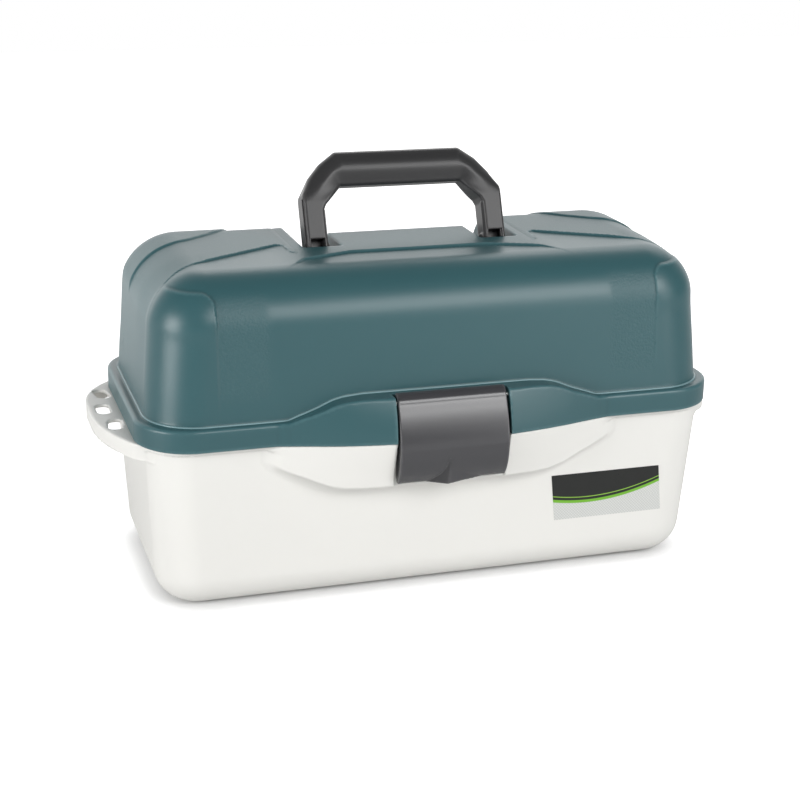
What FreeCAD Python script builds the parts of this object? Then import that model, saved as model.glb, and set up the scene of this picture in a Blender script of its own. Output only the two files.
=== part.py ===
import FreeCAD, Part
import math
import os

from FreeCAD import Vector

# Fishing tackle box with a lift-up lid, a cantilever of three trays, a fold-down handle
# and a snap latch. Millimetres, +Z up, +X to the right, the front faces -Y.
# The origin is the centre of the flat underside of the base.

# Base tub
base_length = 408.4
base_depth = 180.4
base_height = 121.0
base_draft = 6.85
base_corner = 30.0
base_bottom_round = 24.0
base_wall = 2.8
rim_lip_height = 2.7
rim_lip_proud = 1.5

# Lid shell: its walls stand on the flange, and the flange overhangs the base
flange_height = 16.0
flange_overhang_x = 5.8
flange_overhang_y = 6.4
lid_inset_x = 1.65
lid_outset_y = 1.45
lid_height = 96.6
lid_draft = 8.2
lid_corner = 37.0
lid_top_round = 34.0
lid_wall = 2.6
lid_seat_gap = 0.3
flange_corner = 39.5
flange_edge_round = 2.5

lid_foot_height = base_height + flange_height
lid_top_height = lid_foot_height + lid_height
lid_length = base_length - 2 * lid_inset_x
lid_depth = base_depth + 2 * lid_outset_y
flange_length = base_length + 2 * flange_overhang_x
flange_depth = base_depth + 2 * flange_overhang_y

# Raised areas of the lid top and its front corners
band_rise = 1.6
end_rise = 3.4
panel_rise = 0.9
relief_foot_rise = 15.0
relief_foot_step = 0.5
panel_top_drop = 10.6
panel_width = 45.55
panel_side_width = 25.65
panel_round = 11.0

relief_foot_height = lid_foot_height + relief_foot_rise
panel_top_height = lid_top_height - panel_top_drop
panel_inner_x = lid_length / 2 - panel_width
panel_side_y = lid_depth / 2 - panel_side_width

# Plan of the raised areas, right half, as shares of the flange's half length and half depth
brow_shares = ((0.0, -0.28), (0.238, -0.28), (0.414, -0.414), (0.467, -0.538), (0.514, -0.683))
band_edge_shares = ((0.419, -0.035), (0.433, 0.069), (0.724, -0.29), (1.024, -0.6625))
end_edge_shares = ((0.533, 1.035), (0.557, 0.694), (0.648, 0.352), (0.738, 0.228),
                   (0.81, 0.124), (0.881, -0.031), (0.929, -0.259), (1.024, -0.352))

# Bow in the front of both shells, where the latch sits
latch_length = 78.0
latch_recess_gap = 1.6
bow_half_length = 117.0
bow_depth = 17.0
bow_ledge_rise = 15.0
bow_ledge_half_length = 78.4
bow_lean = 6.5
chin_side_margin = 2.0
chin_inset = 1.6
chin_height = 37.0
chin_foot_half_length = 54.0
latch_seat_depth = 12.1

bow_flat_half_length = latch_length / 2 + latch_recess_gap
bow_front_y = flange_depth / 2 + bow_depth
bow_ledge_height = lid_foot_height + bow_ledge_rise
chin_half_length = bow_half_length + chin_side_margin
chin_depth = bow_front_y - chin_inset - (base_depth / 2 - base_wall / 4)
chin_foot_height = base_height - chin_height
latch_seat_y = bow_front_y - latch_seat_depth

# Bend of the bow's ramps: shares of the ramp's length and of the bow's depth
ramp_place_share = 0.60
ramp_depth_share = 0.58

# The chin under the bow, from the rim down: shares of its height, depth and length
chin_shares = ((1.0, 1.0, 1.0), (0.69, 0.97, 1.0), (0.42, 0.90, 0.72), (0.23, 0.80, 0.46),
               (0.13, 0.74, 0.215), (0.0, 0.0, 0.0))

# Carrying wings at both ends
wing_width = 26.3
wing_front_inset = 14.2
wing_rear_inset = 11.2
wing_straight_front_y = 2.0
wing_straight_rear_y = 28.0
wing_plate = 2.6
wing_skirt = 11.5
wing_skirt_wall = 2.2
wing_slot_length = 21.0
wing_slot_width = 11.0
wing_slot_pitch = 34.2
wing_slot_middle_y = 11.5
wing_slot_inset = 9.9
wing_middle_in_share = 0.34
wing_middle_along_share = 0.56
wing_middle_rear_share = 0.60

wing_reach = base_length / 2 + wing_width
wing_front_y = base_depth / 2 - wing_front_inset
wing_rear_y = base_depth / 2 - wing_rear_inset
wing_slot_x = wing_reach - wing_slot_inset

# Slant in degrees of the three slots of a wing, and their shift as shares of the slot's width
wing_slot_slants = (8.0, 0.0, -8.0)
wing_slot_shift_shares = (-0.127, 0.073, -0.073)

# Rear hinge
hinge_behind_flange = 3.4
hinge_below_rim = 9.0
hinge_pin_radius = 2.0
hinge_knuckle_radius = 4.6
hinge_centre_x = 118.0
hinge_knuckle_length = 14.0
hinge_knuckle_gap = 0.4
hinge_web = 4.0
hinge_pin_half = 21.5

hinge_y = flange_depth / 2 + hinge_behind_flange
hinge_z = base_height - hinge_below_rim

# Latch
latch_plate = 3.0
latch_height = 61.4
latch_bulge = 2.2
latch_pivot_depth = 11.4
latch_pivot_drop = 5.0
latch_pin_radius = 1.6
latch_barrel_radius = 4.0
latch_cheek = 3.0
latch_pocket_gap = 0.9
latch_pin_seat = 4.0
hook_height = 3.2
catch_height = 2.6
catch_end_margin = 9.0
catch_proud = 1.3
hook_bite = 0.9
latch_cheek_clear = 0.4

# Points of the latch's outer face below its barrel: shares of its bulge and of its height
latch_face_shares = ((0.20, 0.88), (0.72, 0.68), (1.0, 0.40), (0.90, 0.235), (0.12, 0.0))

# Flared finger lip in the middle of the latch's lower edge
lip_ridge_x = -3.0
lip_left_x = -18.0
lip_right_x = 21.0
lip_height = 16.4
lip_apex_inset = 1.2
lip_tip_inset = 3.4
lip_drop = 1.6

latch_top_z = bow_ledge_height
latch_bottom_z = latch_top_z - latch_height
latch_bulge_y = bow_front_y + latch_bulge
latch_pivot_y = bow_front_y - latch_pivot_depth
latch_pivot_z = latch_top_z - latch_pivot_drop
catch_half_length = latch_length / 2 - catch_end_margin
lip_apex_z = latch_bottom_z + lip_height
lip_apex_y = latch_bulge_y - lip_apex_inset
lip_tip_y = latch_bulge_y - lip_tip_inset

# Handle, given upright; it leans back by handle_lean at rest
handle_outer_x = 74.0
handle_leg_width = 16.5
handle_shoulder_z = 41.0
handle_top_x = 46.5
handle_top_z = 70.5
handle_grip_height = 27.0
handle_inner_shoulder_z = 27.0
handle_inner_top_x = 42.5
handle_depth = 20.0
handle_front_y = 9.5
handle_edge_round = 3.0
handle_foot_radius = 9.0
handle_cut_z = 7.5
handle_side_wall = 2.6
handle_groove_width = 2.6
handle_groove_depth = 4.0
handle_foot_gap = 2.0
handle_pin_radius = 3.0
handle_lean = 23.0
handle_pin_seat = 3.0
handle_outer_round = 7.0
handle_inner_round = 5.0

# Handle well in the lid top
well_side_gap = 5.5
well_front_gap = 1.0
well_depth = 18.1
platform_rear_y = 29.6
well_flat_rear_inset = 34.65
well_slope_inset = 19.65
well_slope_drop = 5.0
well_exit_inset = 5.65
well_exit_drop = 19.5
well_wall = 2.6

well_outer_x = handle_outer_x + well_side_gap
well_inner_x = handle_outer_x - handle_leg_width - well_side_gap
well_front_y = handle_front_y + well_front_gap
well_floor_z = lid_top_height - well_depth
well_flat_rear_y = lid_depth / 2 - well_flat_rear_inset
well_slope_y = lid_depth / 2 - well_slope_inset
well_slope_z = well_floor_z - well_slope_drop
well_exit_y = lid_depth / 2 - well_exit_inset
well_exit_z = well_floor_z - well_exit_drop
handle_pivot_z = well_floor_z + handle_foot_radius + handle_foot_gap

# Trays, stacked between the rim of the base and the floor of the handle well
tray_count = 3
tray_end_gap = 24.2
tray_front_gap = 14.2
tray_rear_gap = 24.2
tray_rim_gap = 1.9
tray_head_room = 7.0
tray_gap = 1.0
tray_wall = 1.8
tray_corner = 22.0
tray_row_split_y = -8.0
tray_groove_pitch = 44.0
tray_groove_width = 2.0
tray_groove_depth = 0.6
divider_plate = 1.5
divider_gap = 0.2
divider_drop = 2.0
tray_lug_radius = 7.5
tray_lug_seat = 7.0

tray_half_length = base_length / 2 - tray_end_gap
tray_front_y = base_depth / 2 - tray_front_gap
tray_rear_y = base_depth / 2 - tray_rear_gap
tray_first_z = base_height + tray_rim_gap
tray_pitch = (well_floor_z - well_wall - tray_head_room - tray_first_z + tray_gap) / tray_count
tray_height = tray_pitch - tray_gap
tray_last_z = tray_first_z + (tray_count - 1) * tray_pitch

# Grooves that hold a divider, per tray and row, counted from the middle groove
tray_divider_counts = (((0,), (0,)), ((-1, 1), (-1, 1)), ((-2, 0, 2), (-1, 1)))

# Tray cantilever
arm_rear_inset = 38.2
arm_spacing_share = 0.232816
arm_corner_gap = 4.0
arm_below_rim = 33.0
arm_top_rise = 13.023
arm_side_gap = 1.0
arm_plate = 2.5
arm_width = 11.0
arm_end_radius = 6.5
rivet_radius = 2.4
rivet_head_radius = 4.4
rivet_head = 1.0
boss_radius = 7.5
boss_seat = 9.0

# The front arm's top rivet stands just behind the round front corner of the upper tray
arm_rear_y = base_depth / 2 - arm_rear_inset
arm_front_y = arm_rear_y - base_depth * arm_spacing_share
arm_pivot_z = base_height - arm_below_rim
arm_forward = arm_front_y + tray_front_y - tray_corner - arm_corner_gap
arm_rise = tray_last_z + arm_top_rise - arm_pivot_z
arm_reach = math.hypot(arm_forward, arm_rise)
arm_closed_angle = math.degrees(math.atan2(arm_rise, arm_forward))
arm_inner_x = tray_half_length + arm_side_gap

# Slotted ear of the upper tray and the stud of the lid that lifts it
stud_inset_y = 26.0
stud_drop = 20.9
stud_radius = 2.5
stud_base_radius = 5.0
stud_base_gap = 1.0
ear_plate = 2.5
ear_gap = 2.1
ear_half_width = 10.0
ear_slot_half_width = 5.8
ear_slot_rise = 14.2
ear_slot_gap = 0.5
ear_web_half_width = 8.0
ear_rim = 6.0

stud_y = tray_rear_y - stud_inset_y
stud_z = tray_last_z - stud_drop
ear_inner_x = arm_inner_x + arm_plate + ear_gap

# Generic sticker on the front of the base
sticker_length = 84.0
sticker_height = 35.5
sticker_slant = 4.6
sticker_x = 127.0
sticker_z = 59.0
sticker_plate = 0.25

# Clearances: round a turning shaft, and beside a turning plate
running_gap = 0.08
side_gap = 0.3

# One overrun serves every cut
overrun = 20.0

# Two heights nearer than this count as the same
slack = 1e-4

x_axis = Vector(1, 0, 0)
y_axis = Vector(0, 1, 0)
z_axis = Vector(0, 0, 1)


def mirrored(shape):
    return shape.mirror(Vector(0, 0, 0), x_axis)


def both_sides(shape):
    return [shape, mirrored(shape)]


def rounded_rectangle(length, depth, corner, z):
    """A closed wire round the origin at height z, with four arcs at its corners."""
    half_x = length / 2
    half_y = depth / 2
    diagonal = corner * (1 - math.sqrt(0.5))
    edges = []
    for sx, sy in ((1, 1), (-1, 1), (-1, -1), (1, -1)):
        on_end = Vector(sx * half_x, sy * (half_y - corner), z)
        middle = Vector(sx * (half_x - diagonal), sy * (half_y - diagonal), z)
        on_side = Vector(sx * (half_x - corner), sy * half_y, z)
        points = (on_end, middle, on_side)
        if sx * sy < 0:
            points = (on_side, middle, on_end)
        edges.append(points)
    path = []
    for index, points in enumerate(edges):
        path.append(Part.Arc(*points).toShape())
        path.append(Part.makeLine(points[2], edges[(index + 1) % len(edges)][0]))
    return Part.Wire(path)


def tapered_block(low, high):
    """A block between two rounded rectangles, each given as length, depth, corner, z."""
    return Part.makeLoft([rounded_rectangle(*low), rounded_rectangle(*high)], True, True)


def edges_at(shape, z):
    return [e for e in shape.Edges
            if abs(e.BoundBox.ZMin - z) < slack and abs(e.BoundBox.ZMax - z) < slack]


def plan_prism(points, low, high):
    """A closed outline of (x, y) points raised from low to high."""
    corners = [Vector(x, y, low) for x, y in points]
    face = Part.Face(Part.makePolygon(corners + corners[:1]))
    return face.extrude(Vector(0, 0, high - low))


def side_prism(points, start_x, end_x):
    """A closed outline of (y, z) points drawn along X."""
    corners = [Vector(start_x, y, z) for y, z in points]
    face = Part.Face(Part.makePolygon(corners + corners[:1]))
    return face.extrude(Vector(end_x - start_x, 0, 0))


def block(low, high):
    size = Vector(*high) - Vector(*low)
    return Part.makeBox(size.x, size.y, size.z, Vector(*low))


def rod(radius, start_x, end_x, y, z):
    return Part.makeCylinder(radius, end_x - start_x, Vector(start_x, y, z), x_axis)


def write(node, solids):
    """Writes one piece, or a group of like pieces, to its own file."""
    shape = solids[0] if len(solids) == 1 else Part.makeCompound(solids)
    shape.exportStep(os.path.join("parts", node + ".step"))
    print(node, "solids", len(shape.Solids), "valid", shape.isValid(),
          "volume", round(shape.Volume))


def front_wall_y(z):
    """How far forward the outer face of the base is at height z."""
    return base_depth / 2 - base_draft * (1 - z / base_height)


def arm_point(base_y, distance, angle=arm_closed_angle):
    """The (y, z) of a point on a tray arm; an angle of 0 is straight forward."""
    radians = math.radians(angle)
    return (base_y - distance * math.cos(radians), arm_pivot_z + distance * math.sin(radians))


def tray_distance(index):
    """How far out on its arms tray index hangs, counted from the lowest tray."""
    return arm_reach * (index + 1) / tray_count


def tray_bottom(index):
    return tray_first_z + index * tray_pitch


# Base tub

def tub_block(inset):
    """The tapered body of the tub, drawn in by inset on every outer side."""
    low = (base_length - 2 * base_draft - 2 * inset, base_depth - 2 * base_draft - 2 * inset,
           base_corner - inset, inset)
    high = (base_length - 2 * inset, base_depth - 2 * inset, base_corner - inset, base_height)
    body = tapered_block(low, high)
    return body.makeFillet(base_bottom_round - inset, edges_at(body, inset))


def bow_outline(half_length, flat_half_length, wall_y, back_y, depth, z):
    """The plan of the bowed front at one height: a flat nose and a bent ramp at each side."""
    ramp_x = flat_half_length + (half_length - flat_half_length) * ramp_place_share
    ramp_y = -wall_y - depth * ramp_depth_share
    right = [(flat_half_length, -wall_y - depth), (ramp_x, ramp_y), (half_length, -wall_y),
             (half_length, -back_y)]
    left = [(-x, y) for x, y in reversed(right)]
    corners = [Vector(x, y, z) for x, y in left + right]
    return Part.makePolygon(corners + corners[:1])


def base_chin(inset):
    """The chin of the tub below the bow of the lid; its lower edge is a crease."""
    low = chin_foot_height + inset / 2
    sections = []
    for height_share, depth_share, length_share in chin_shares:
        z = low + (base_height - low) * height_share
        half_length = chin_foot_half_length + (chin_half_length
                                               - chin_foot_half_length) * length_share
        wall_y = front_wall_y(z) - base_wall / 4
        depth = chin_depth * depth_share - inset
        if depth_share == 0:
            wall_y -= base_wall / 2 + inset
            depth = 0
        sections.append(bow_outline(half_length - inset, bow_flat_half_length - inset,
                                    wall_y, wall_y - base_wall, depth, z))
    return Part.makeLoft(sections, True, True)


def wing_outline(inset, z):
    """The crescent of the right-hand wing, drawn in by inset on its outer side."""
    reach = wing_reach - inset
    root = base_length / 2 - base_wall / 2
    front = Vector(root, -wing_front_y + inset, z)
    rear = Vector(root, wing_rear_y - inset, z)
    straight_front = Vector(reach, wing_straight_front_y, z)
    straight_rear = Vector(reach, wing_straight_rear_y, z)
    bulge = wing_reach - base_length / 2
    front_middle = Vector(reach - bulge * wing_middle_in_share,
                          -wing_front_y * wing_middle_along_share, z)
    rear_middle = Vector(reach - bulge * wing_middle_in_share,
                         straight_rear.y + (rear.y - straight_rear.y) * wing_middle_rear_share, z)
    return Part.Wire([Part.Arc(front, front_middle, straight_front).toShape(),
                      Part.makeLine(straight_front, straight_rear),
                      Part.Arc(straight_rear, rear_middle, rear).toShape(),
                      Part.makeLine(rear, front)])


def wing_slot(y, slant):
    """One upright slot with round ends in the wing plate."""
    radius = wing_slot_width / 2
    straight = wing_slot_length / 2 - radius
    low = base_height - wing_plate - overrun
    height = wing_plate + 2 * overrun
    slot = block((-radius, -straight, low), (radius, straight, low + height))
    for end in (-straight, straight):
        slot = slot.fuse(Part.makeCylinder(radius, height, Vector(0, end, low)))
    slot = slot.removeSplitter()
    slot.rotate(Vector(0, 0, 0), z_axis, slant)
    slot.translate(Vector(wing_slot_x, y, 0))
    return slot


def wing():
    top = Part.Face(wing_outline(0, base_height))
    plate = top.extrude(Vector(0, 0, -wing_plate))
    skirt = top.extrude(Vector(0, 0, -wing_skirt))
    hollow = Part.Face(wing_outline(wing_skirt_wall, base_height - wing_plate))
    skirt = skirt.cut(hollow.extrude(Vector(0, 0, -wing_skirt)))
    body = plate.fuse(skirt)
    for number, slant in enumerate(wing_slot_slants):
        slot = wing_slot(wing_slot_middle_y + (number - 1) * wing_slot_pitch, slant)
        slot.translate(Vector(wing_slot_width * wing_slot_shift_shares[number], 0, 0))
        body = body.cut(slot)
    return body


def arm_boss(y):
    """The boss inside an end wall that one arm is riveted to."""
    inner = arm_inner_x + arm_plate + side_gap
    return rod(boss_radius, inner, base_length / 2 - base_wall, y, arm_pivot_z)


def knuckle(start_x, end_x, web_to):
    """One hinge knuckle with the web that carries it, towards the point web_to."""
    y, z = web_to
    body = rod(hinge_knuckle_radius, start_x, end_x, hinge_y, hinge_z)
    dy = y - hinge_y
    dz = z - hinge_z
    reach = math.hypot(dy, dz)
    across_y = -dz / reach * hinge_web / 2
    across_z = dy / reach * hinge_web / 2
    web = side_prism([(hinge_y + across_y, hinge_z + across_z),
                      (hinge_y - across_y, hinge_z - across_z),
                      (y - across_y, z - across_z), (y + across_y, z + across_z)],
                     start_x, end_x)
    return body.fuse(web)


def hinge_hole(running):
    radius = hinge_pin_radius + running
    reach = 2 * hinge_knuckle_length + overrun
    return [rod(radius, side * hinge_centre_x - reach, side * hinge_centre_x + reach,
                hinge_y, hinge_z) for side in (-1, 1)]


def base_knuckles():
    """Two knuckles on the base for each hinge, one at each side of the lid's knuckle."""
    wall_point = (front_wall_y(hinge_z) - base_wall / 2, hinge_z - hinge_knuckle_radius)
    knuckles = []
    for side in (-1, 1):
        for place in (-1, 1):
            middle = side * hinge_centre_x + place * (hinge_knuckle_length + hinge_knuckle_gap)
            knuckles.append(knuckle(middle - hinge_knuckle_length / 2,
                                    middle + hinge_knuckle_length / 2, wall_point))
    return knuckles


def latch_catch():
    """The ridge on the base that the latch hooks under."""
    low = latch_bottom_z + hook_height + latch_plate
    return side_prism([(-latch_seat_y, low), (-latch_seat_y - catch_proud, low + catch_proud),
                       (-latch_seat_y - catch_proud, low + catch_height),
                       (-latch_seat_y, low + catch_height + catch_proud),
                       (-latch_seat_y + base_wall, low + catch_height + catch_proud),
                       (-latch_seat_y + base_wall, low)],
                      -catch_half_length, catch_half_length)


def base_tub():
    outer = tub_block(0)
    lip = Part.Face(rounded_rectangle(base_length + 2 * rim_lip_proud,
                                      base_depth + 2 * rim_lip_proud,
                                      base_corner + rim_lip_proud,
                                      base_height - rim_lip_height))
    outer = outer.fuse(lip.extrude(Vector(0, 0, rim_lip_height)))
    outer = outer.fuse(base_chin(0))
    seat = block((-bow_flat_half_length, -latch_bulge_y - overrun, 0),
                 (bow_flat_half_length, -latch_seat_y, base_height + overrun))
    outer = outer.cut(seat)
    for piece in both_sides(wing()) + base_knuckles():
        outer = outer.fuse(piece)
    inner = tub_block(base_wall).fuse(base_chin(base_wall))
    rim_cap = Part.Face(rounded_rectangle(base_length - 2 * base_wall,
                                          base_depth - 2 * base_wall,
                                          base_corner - base_wall, base_height))
    inner = inner.fuse(rim_cap.extrude(Vector(0, 0, overrun)))
    inner = inner.cut(block((-bow_flat_half_length - base_wall, -latch_bulge_y - overrun, 0),
                            (bow_flat_half_length + base_wall, -latch_seat_y + base_wall,
                             base_height + overrun)))
    tub = outer.cut(inner)
    tub = tub.fuse(latch_catch())
    for base_y in (arm_front_y, arm_rear_y):
        for boss in both_sides(arm_boss(base_y)):
            tub = tub.fuse(boss)
        seat_end = arm_inner_x + arm_plate + boss_seat
        for hole in both_sides(rod(rivet_radius, 0, seat_end, base_y, arm_pivot_z)):
            tub = tub.cut(hole)
    for hole in hinge_hole(0):
        tub = tub.cut(hole)
    return tub.removeSplitter()


# Lid shell

def lid_block(grow, top_rise, foot_z, foot_grow):
    """The lid's tapered body with its rounded top edge; grow widens its top."""
    share = (foot_z - lid_foot_height) / (lid_top_height - lid_foot_height)
    foot_inset = lid_draft * share - foot_grow
    low = (lid_length - 2 * foot_inset, lid_depth - 2 * foot_inset, lid_corner, foot_z)
    high = (lid_length - 2 * lid_draft + 2 * grow, lid_depth - 2 * lid_draft + 2 * grow,
            lid_corner + min(grow, 0), lid_top_height + top_rise)
    body = tapered_block(low, high)
    rounding = lid_top_round + min(grow, 0)
    return body.makeFillet(rounding, edges_at(body, lid_top_height + top_rise))


def flange_block():
    low = base_height + lid_seat_gap
    wire = rounded_rectangle(flange_length, flange_depth, flange_corner, low)
    body = Part.Face(wire).extrude(Vector(0, 0, lid_foot_height - low))
    return body.makeFillet(flange_edge_round, edges_at(body, lid_foot_height))


def lid_bow_section(z, half_length, depth, inset):
    """One level of the lid's bow, measured from the front of the flange."""
    wall_y = flange_depth / 2 - inset
    back = lid_depth / 2 - lid_wall / 2 - inset
    return bow_outline(half_length - inset, bow_flat_half_length - inset, wall_y, back, depth, z)


def lid_bow(inset):
    """The bow of the flange: a leaning face up to a ledge whose ends ramp down."""
    low = base_height + lid_seat_gap
    sections = [lid_bow_section(low, bow_half_length, bow_depth, inset),
                lid_bow_section(lid_foot_height - inset, bow_half_length,
                                bow_depth - bow_lean / 2, inset),
                lid_bow_section(bow_ledge_height - inset, bow_ledge_half_length,
                                bow_depth - bow_lean - lid_wall, inset)]
    return Part.makeLoft(sections, True, True)


def relief_points(shares):
    """Plan points of the lid top, from shares of its half length and half depth."""
    return [(x_share * flange_length / 2, y_share * flange_depth / 2)
            for x_share, y_share in shares]


def band_plan():
    """The raised band across the lid top, with the bent edge in front of each end."""
    reach = flange_length / 2 + overrun
    right = relief_points(brow_shares + band_edge_shares)
    right += [(reach, right[-1][1]), (reach, flange_depth / 2 + overrun)]
    left = [(-x, y) for x, y in reversed(right) if x > 0]
    return right + left


def end_plan():
    """The higher area at the right-hand end of the lid top."""
    reach = flange_length / 2 + overrun
    edge = relief_points(end_edge_shares)
    return edge + [(reach, edge[-1][1]), (reach, flange_depth / 2 + overrun),
                   (edge[0][0], flange_depth / 2 + overrun)]


def corner_panel():
    """The raised panel round one front corner, with a rounded upper inner corner."""
    body = lid_block(panel_rise, panel_rise, relief_foot_height, panel_rise)
    reach = flange_length / 2 + overrun
    low = relief_foot_height - overrun
    straight_top = panel_top_height - panel_round
    front = -flange_depth / 2 - overrun
    window = block((panel_inner_x, front, low), (reach, -panel_side_y, straight_top))
    window = window.fuse(block((panel_inner_x + panel_round, front, low),
                               (reach, -panel_side_y, panel_top_height)))
    quarter = Part.makeCylinder(panel_round, -panel_side_y - front,
                                Vector(panel_inner_x + panel_round, front, straight_top), y_axis)
    return body.common(window.fuse(quarter))


def well_profile(grow):
    """Side view of the space behind the handle platform, widened by grow."""
    top = lid_top_height + overrun
    return [(platform_rear_y - grow, top), (platform_rear_y - grow, well_floor_z - grow),
            (well_flat_rear_y, well_floor_z - grow), (well_slope_y - grow, well_slope_z - grow),
            (well_exit_y - grow, well_exit_z - grow), (flange_depth / 2 + overrun, well_exit_z),
            (flange_depth / 2 + overrun, top)]


def handle_well(grow):
    """The two channels for the handle legs and the bay for its grip."""
    body = side_prism(well_profile(grow), -well_outer_x - grow, well_outer_x + grow)
    channel = block((well_inner_x - grow, -well_front_y - grow, well_floor_z - grow),
                    (well_outer_x + grow, platform_rear_y + grow, lid_top_height + overrun))
    for piece in both_sides(channel):
        body = body.fuse(piece)
    return body.removeSplitter()


def lid_stud():
    """The stud inside one end of the lid that lifts the upper tray by its ear."""
    tip = ear_inner_x - side_gap
    root = lid_length / 2 - lid_wall
    neck = ear_inner_x + ear_plate + stud_base_gap
    thin = rod(stud_radius, tip, root, stud_y, stud_z)
    return thin.fuse(rod(stud_base_radius, neck, root, stud_y, stud_z))


def lid_knuckles():
    wall_point = (flange_depth / 2 - lid_wall / 2, base_height + lid_seat_gap + hinge_web)
    half = hinge_knuckle_length / 2
    return [knuckle(side * hinge_centre_x - half, side * hinge_centre_x + half, wall_point)
            for side in (-1, 1)]


def lid_shell():
    outer = lid_block(0, 0, lid_foot_height - flange_edge_round, 0)
    band = lid_block(band_rise, band_rise, relief_foot_height, relief_foot_step)
    band = band.common(plan_prism(band_plan(), relief_foot_height - overrun,
                                  lid_top_height + overrun))
    ends = lid_block(end_rise, end_rise, relief_foot_height, relief_foot_step * 2)
    raised = [band]
    raised += both_sides(ends.common(plan_prism(end_plan(), relief_foot_height - overrun,
                                                lid_top_height + overrun)))
    raised += both_sides(corner_panel())
    for piece in raised + [flange_block(), lid_bow(0)]:
        outer = outer.fuse(piece)
    low = base_height + lid_seat_gap
    inner = lid_block(-lid_wall, -lid_wall, lid_foot_height, -lid_wall)
    foot = Part.Face(rounded_rectangle(lid_length - 2 * lid_wall, lid_depth - 2 * lid_wall,
                                       lid_corner - lid_wall, low - overrun))
    inner = inner.fuse(foot.extrude(Vector(0, 0, lid_foot_height - low + overrun)))
    inner = inner.cut(handle_well(well_wall))
    lid = outer.cut(inner).cut(handle_well(0))
    pocket_half = latch_length / 2 + latch_pocket_gap
    pocket = block((-pocket_half, -latch_bulge_y - overrun, low - overrun),
                   (pocket_half, -latch_pivot_y + latch_barrel_radius + latch_pocket_gap,
                    bow_ledge_height + overrun))
    lid = lid.cut(pocket)
    hollow = lid_bow(lid_wall).cut(block((-pocket_half - lid_wall, -latch_bulge_y - overrun, 0),
                                         (pocket_half + lid_wall, -lid_depth / 2,
                                          bow_ledge_height + overrun)))
    skirt = block((-flange_length, -flange_depth, low - overrun),
                  (flange_length, -lid_depth / 2 - lid_wall / 2, lid_foot_height + overrun))
    lid = lid.cut(hollow.common(skirt))
    for piece in both_sides(lid_stud()) + lid_knuckles():
        lid = lid.fuse(piece)
    for hole in hinge_hole(running_gap):
        lid = lid.cut(hole)
    lid = lid.cut(latch_pin_rod(0))
    pivot_hole = rod(handle_pin_radius, well_inner_x - well_wall - overrun,
                     well_outer_x + well_wall, 0, handle_pivot_z)
    for hole in both_sides(pivot_hole):
        lid = lid.cut(hole)
    return lid.removeSplitter()


def latch_pin_rod(grow):
    half = latch_length / 2 + latch_pocket_gap + latch_pin_seat
    return rod(latch_pin_radius + grow, -half, half, -latch_pivot_y, latch_pivot_z)


# Latch

def latch_profile():
    """Side view of the latch plate: outer face down, lower lip, inner face up."""
    span = latch_top_z - latch_bottom_z
    outer = [Vector(0, -latch_pivot_y - latch_barrel_radius, latch_top_z - latch_barrel_radius / 2)]
    for depth_share, height_share in latch_face_shares:
        y = -latch_pivot_y - latch_barrel_radius - (latch_bulge_y - latch_pivot_y
                                                    - latch_barrel_radius) * depth_share
        outer.append(Vector(0, y, latch_bottom_z + span * height_share))
    return outer


def latch_plate_solid():
    outer = latch_profile()
    inner = [Vector(0, p.y + latch_plate, p.z) for p in outer]
    face_out = Part.BSplineCurve()
    face_out.interpolate(outer)
    face_in = Part.BSplineCurve()
    face_in.interpolate(inner)
    wire = Part.Wire([face_out.toShape(), Part.makeLine(outer[-1], inner[-1]),
                      face_in.toShape(), Part.makeLine(inner[0], outer[0])])
    plate = Part.Face(wire).extrude(Vector(latch_length, 0, 0))
    plate.translate(Vector(-latch_length / 2, 0, 0))
    return plate


def latch_cheek_solid():
    """The side wall of the latch, from its plate back to the front of the base."""
    outer = latch_profile()
    wire_face = Part.BSplineCurve()
    wire_face.interpolate([Vector(0, p.y + latch_plate / 2, p.z) for p in outer])
    start = Vector(0, outer[0].y + latch_plate / 2, outer[0].z)
    end = Vector(0, outer[-1].y + latch_plate / 2, outer[-1].z)
    seat = -latch_seat_y - catch_proud - latch_cheek_clear
    points = [start, Vector(0, -latch_pivot_y, start.z),
              Vector(0, seat, latch_pivot_z - latch_barrel_radius),
              Vector(0, seat, latch_bottom_z + latch_plate), end]
    edges = [Part.makeLine(a, b) for a, b in zip(points, points[1:])]
    wire = Part.Wire([wire_face.toShape()] + list(reversed(edges)))
    cheek = Part.Face(wire).extrude(Vector(latch_cheek, 0, 0))
    cheek.translate(Vector(latch_length / 2 - latch_cheek, 0, 0))
    return cheek


def latch_lip():
    """The flared lip: four corners, two of them sunk in the lower edge of the plate."""
    root = latch_profile()[-1]
    apex = Vector(lip_ridge_x, -lip_apex_y, lip_apex_z)
    left = Vector(lip_left_x, root.y + latch_plate / 2, root.z)
    right = Vector(lip_right_x, root.y + latch_plate / 2, root.z)
    tip = Vector(lip_ridge_x, -lip_tip_y, latch_bottom_z - lip_drop)
    faces = []
    for corners in ((apex, left, tip), (apex, tip, right), (left, right, tip),
                    (apex, right, left)):
        faces.append(Part.Face(Part.makePolygon(list(corners) + [corners[0]])))
    return Part.makeSolid(Part.makeShell(faces))


def latch():
    body = latch_plate_solid().fuse(latch_lip())
    for cheek in both_sides(latch_cheek_solid()):
        body = body.fuse(cheek)
    body = body.fuse(rod(latch_barrel_radius, -latch_length / 2, latch_length / 2,
                         -latch_pivot_y, latch_pivot_z))
    hook_low = latch_bottom_z + latch_plate / 2
    tip = -latch_seat_y - catch_proud + hook_bite
    root = latch_profile()[-1].y
    hook = side_prism([(root, hook_low), (tip, hook_low + latch_plate / 2),
                       (tip, hook_low + hook_height), (root, hook_low + hook_height + hook_bite)],
                      -catch_half_length, catch_half_length)
    body = body.fuse(hook)
    body = body.cut(latch_pin_rod(running_gap))
    return body.removeSplitter()


# Handle

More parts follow.
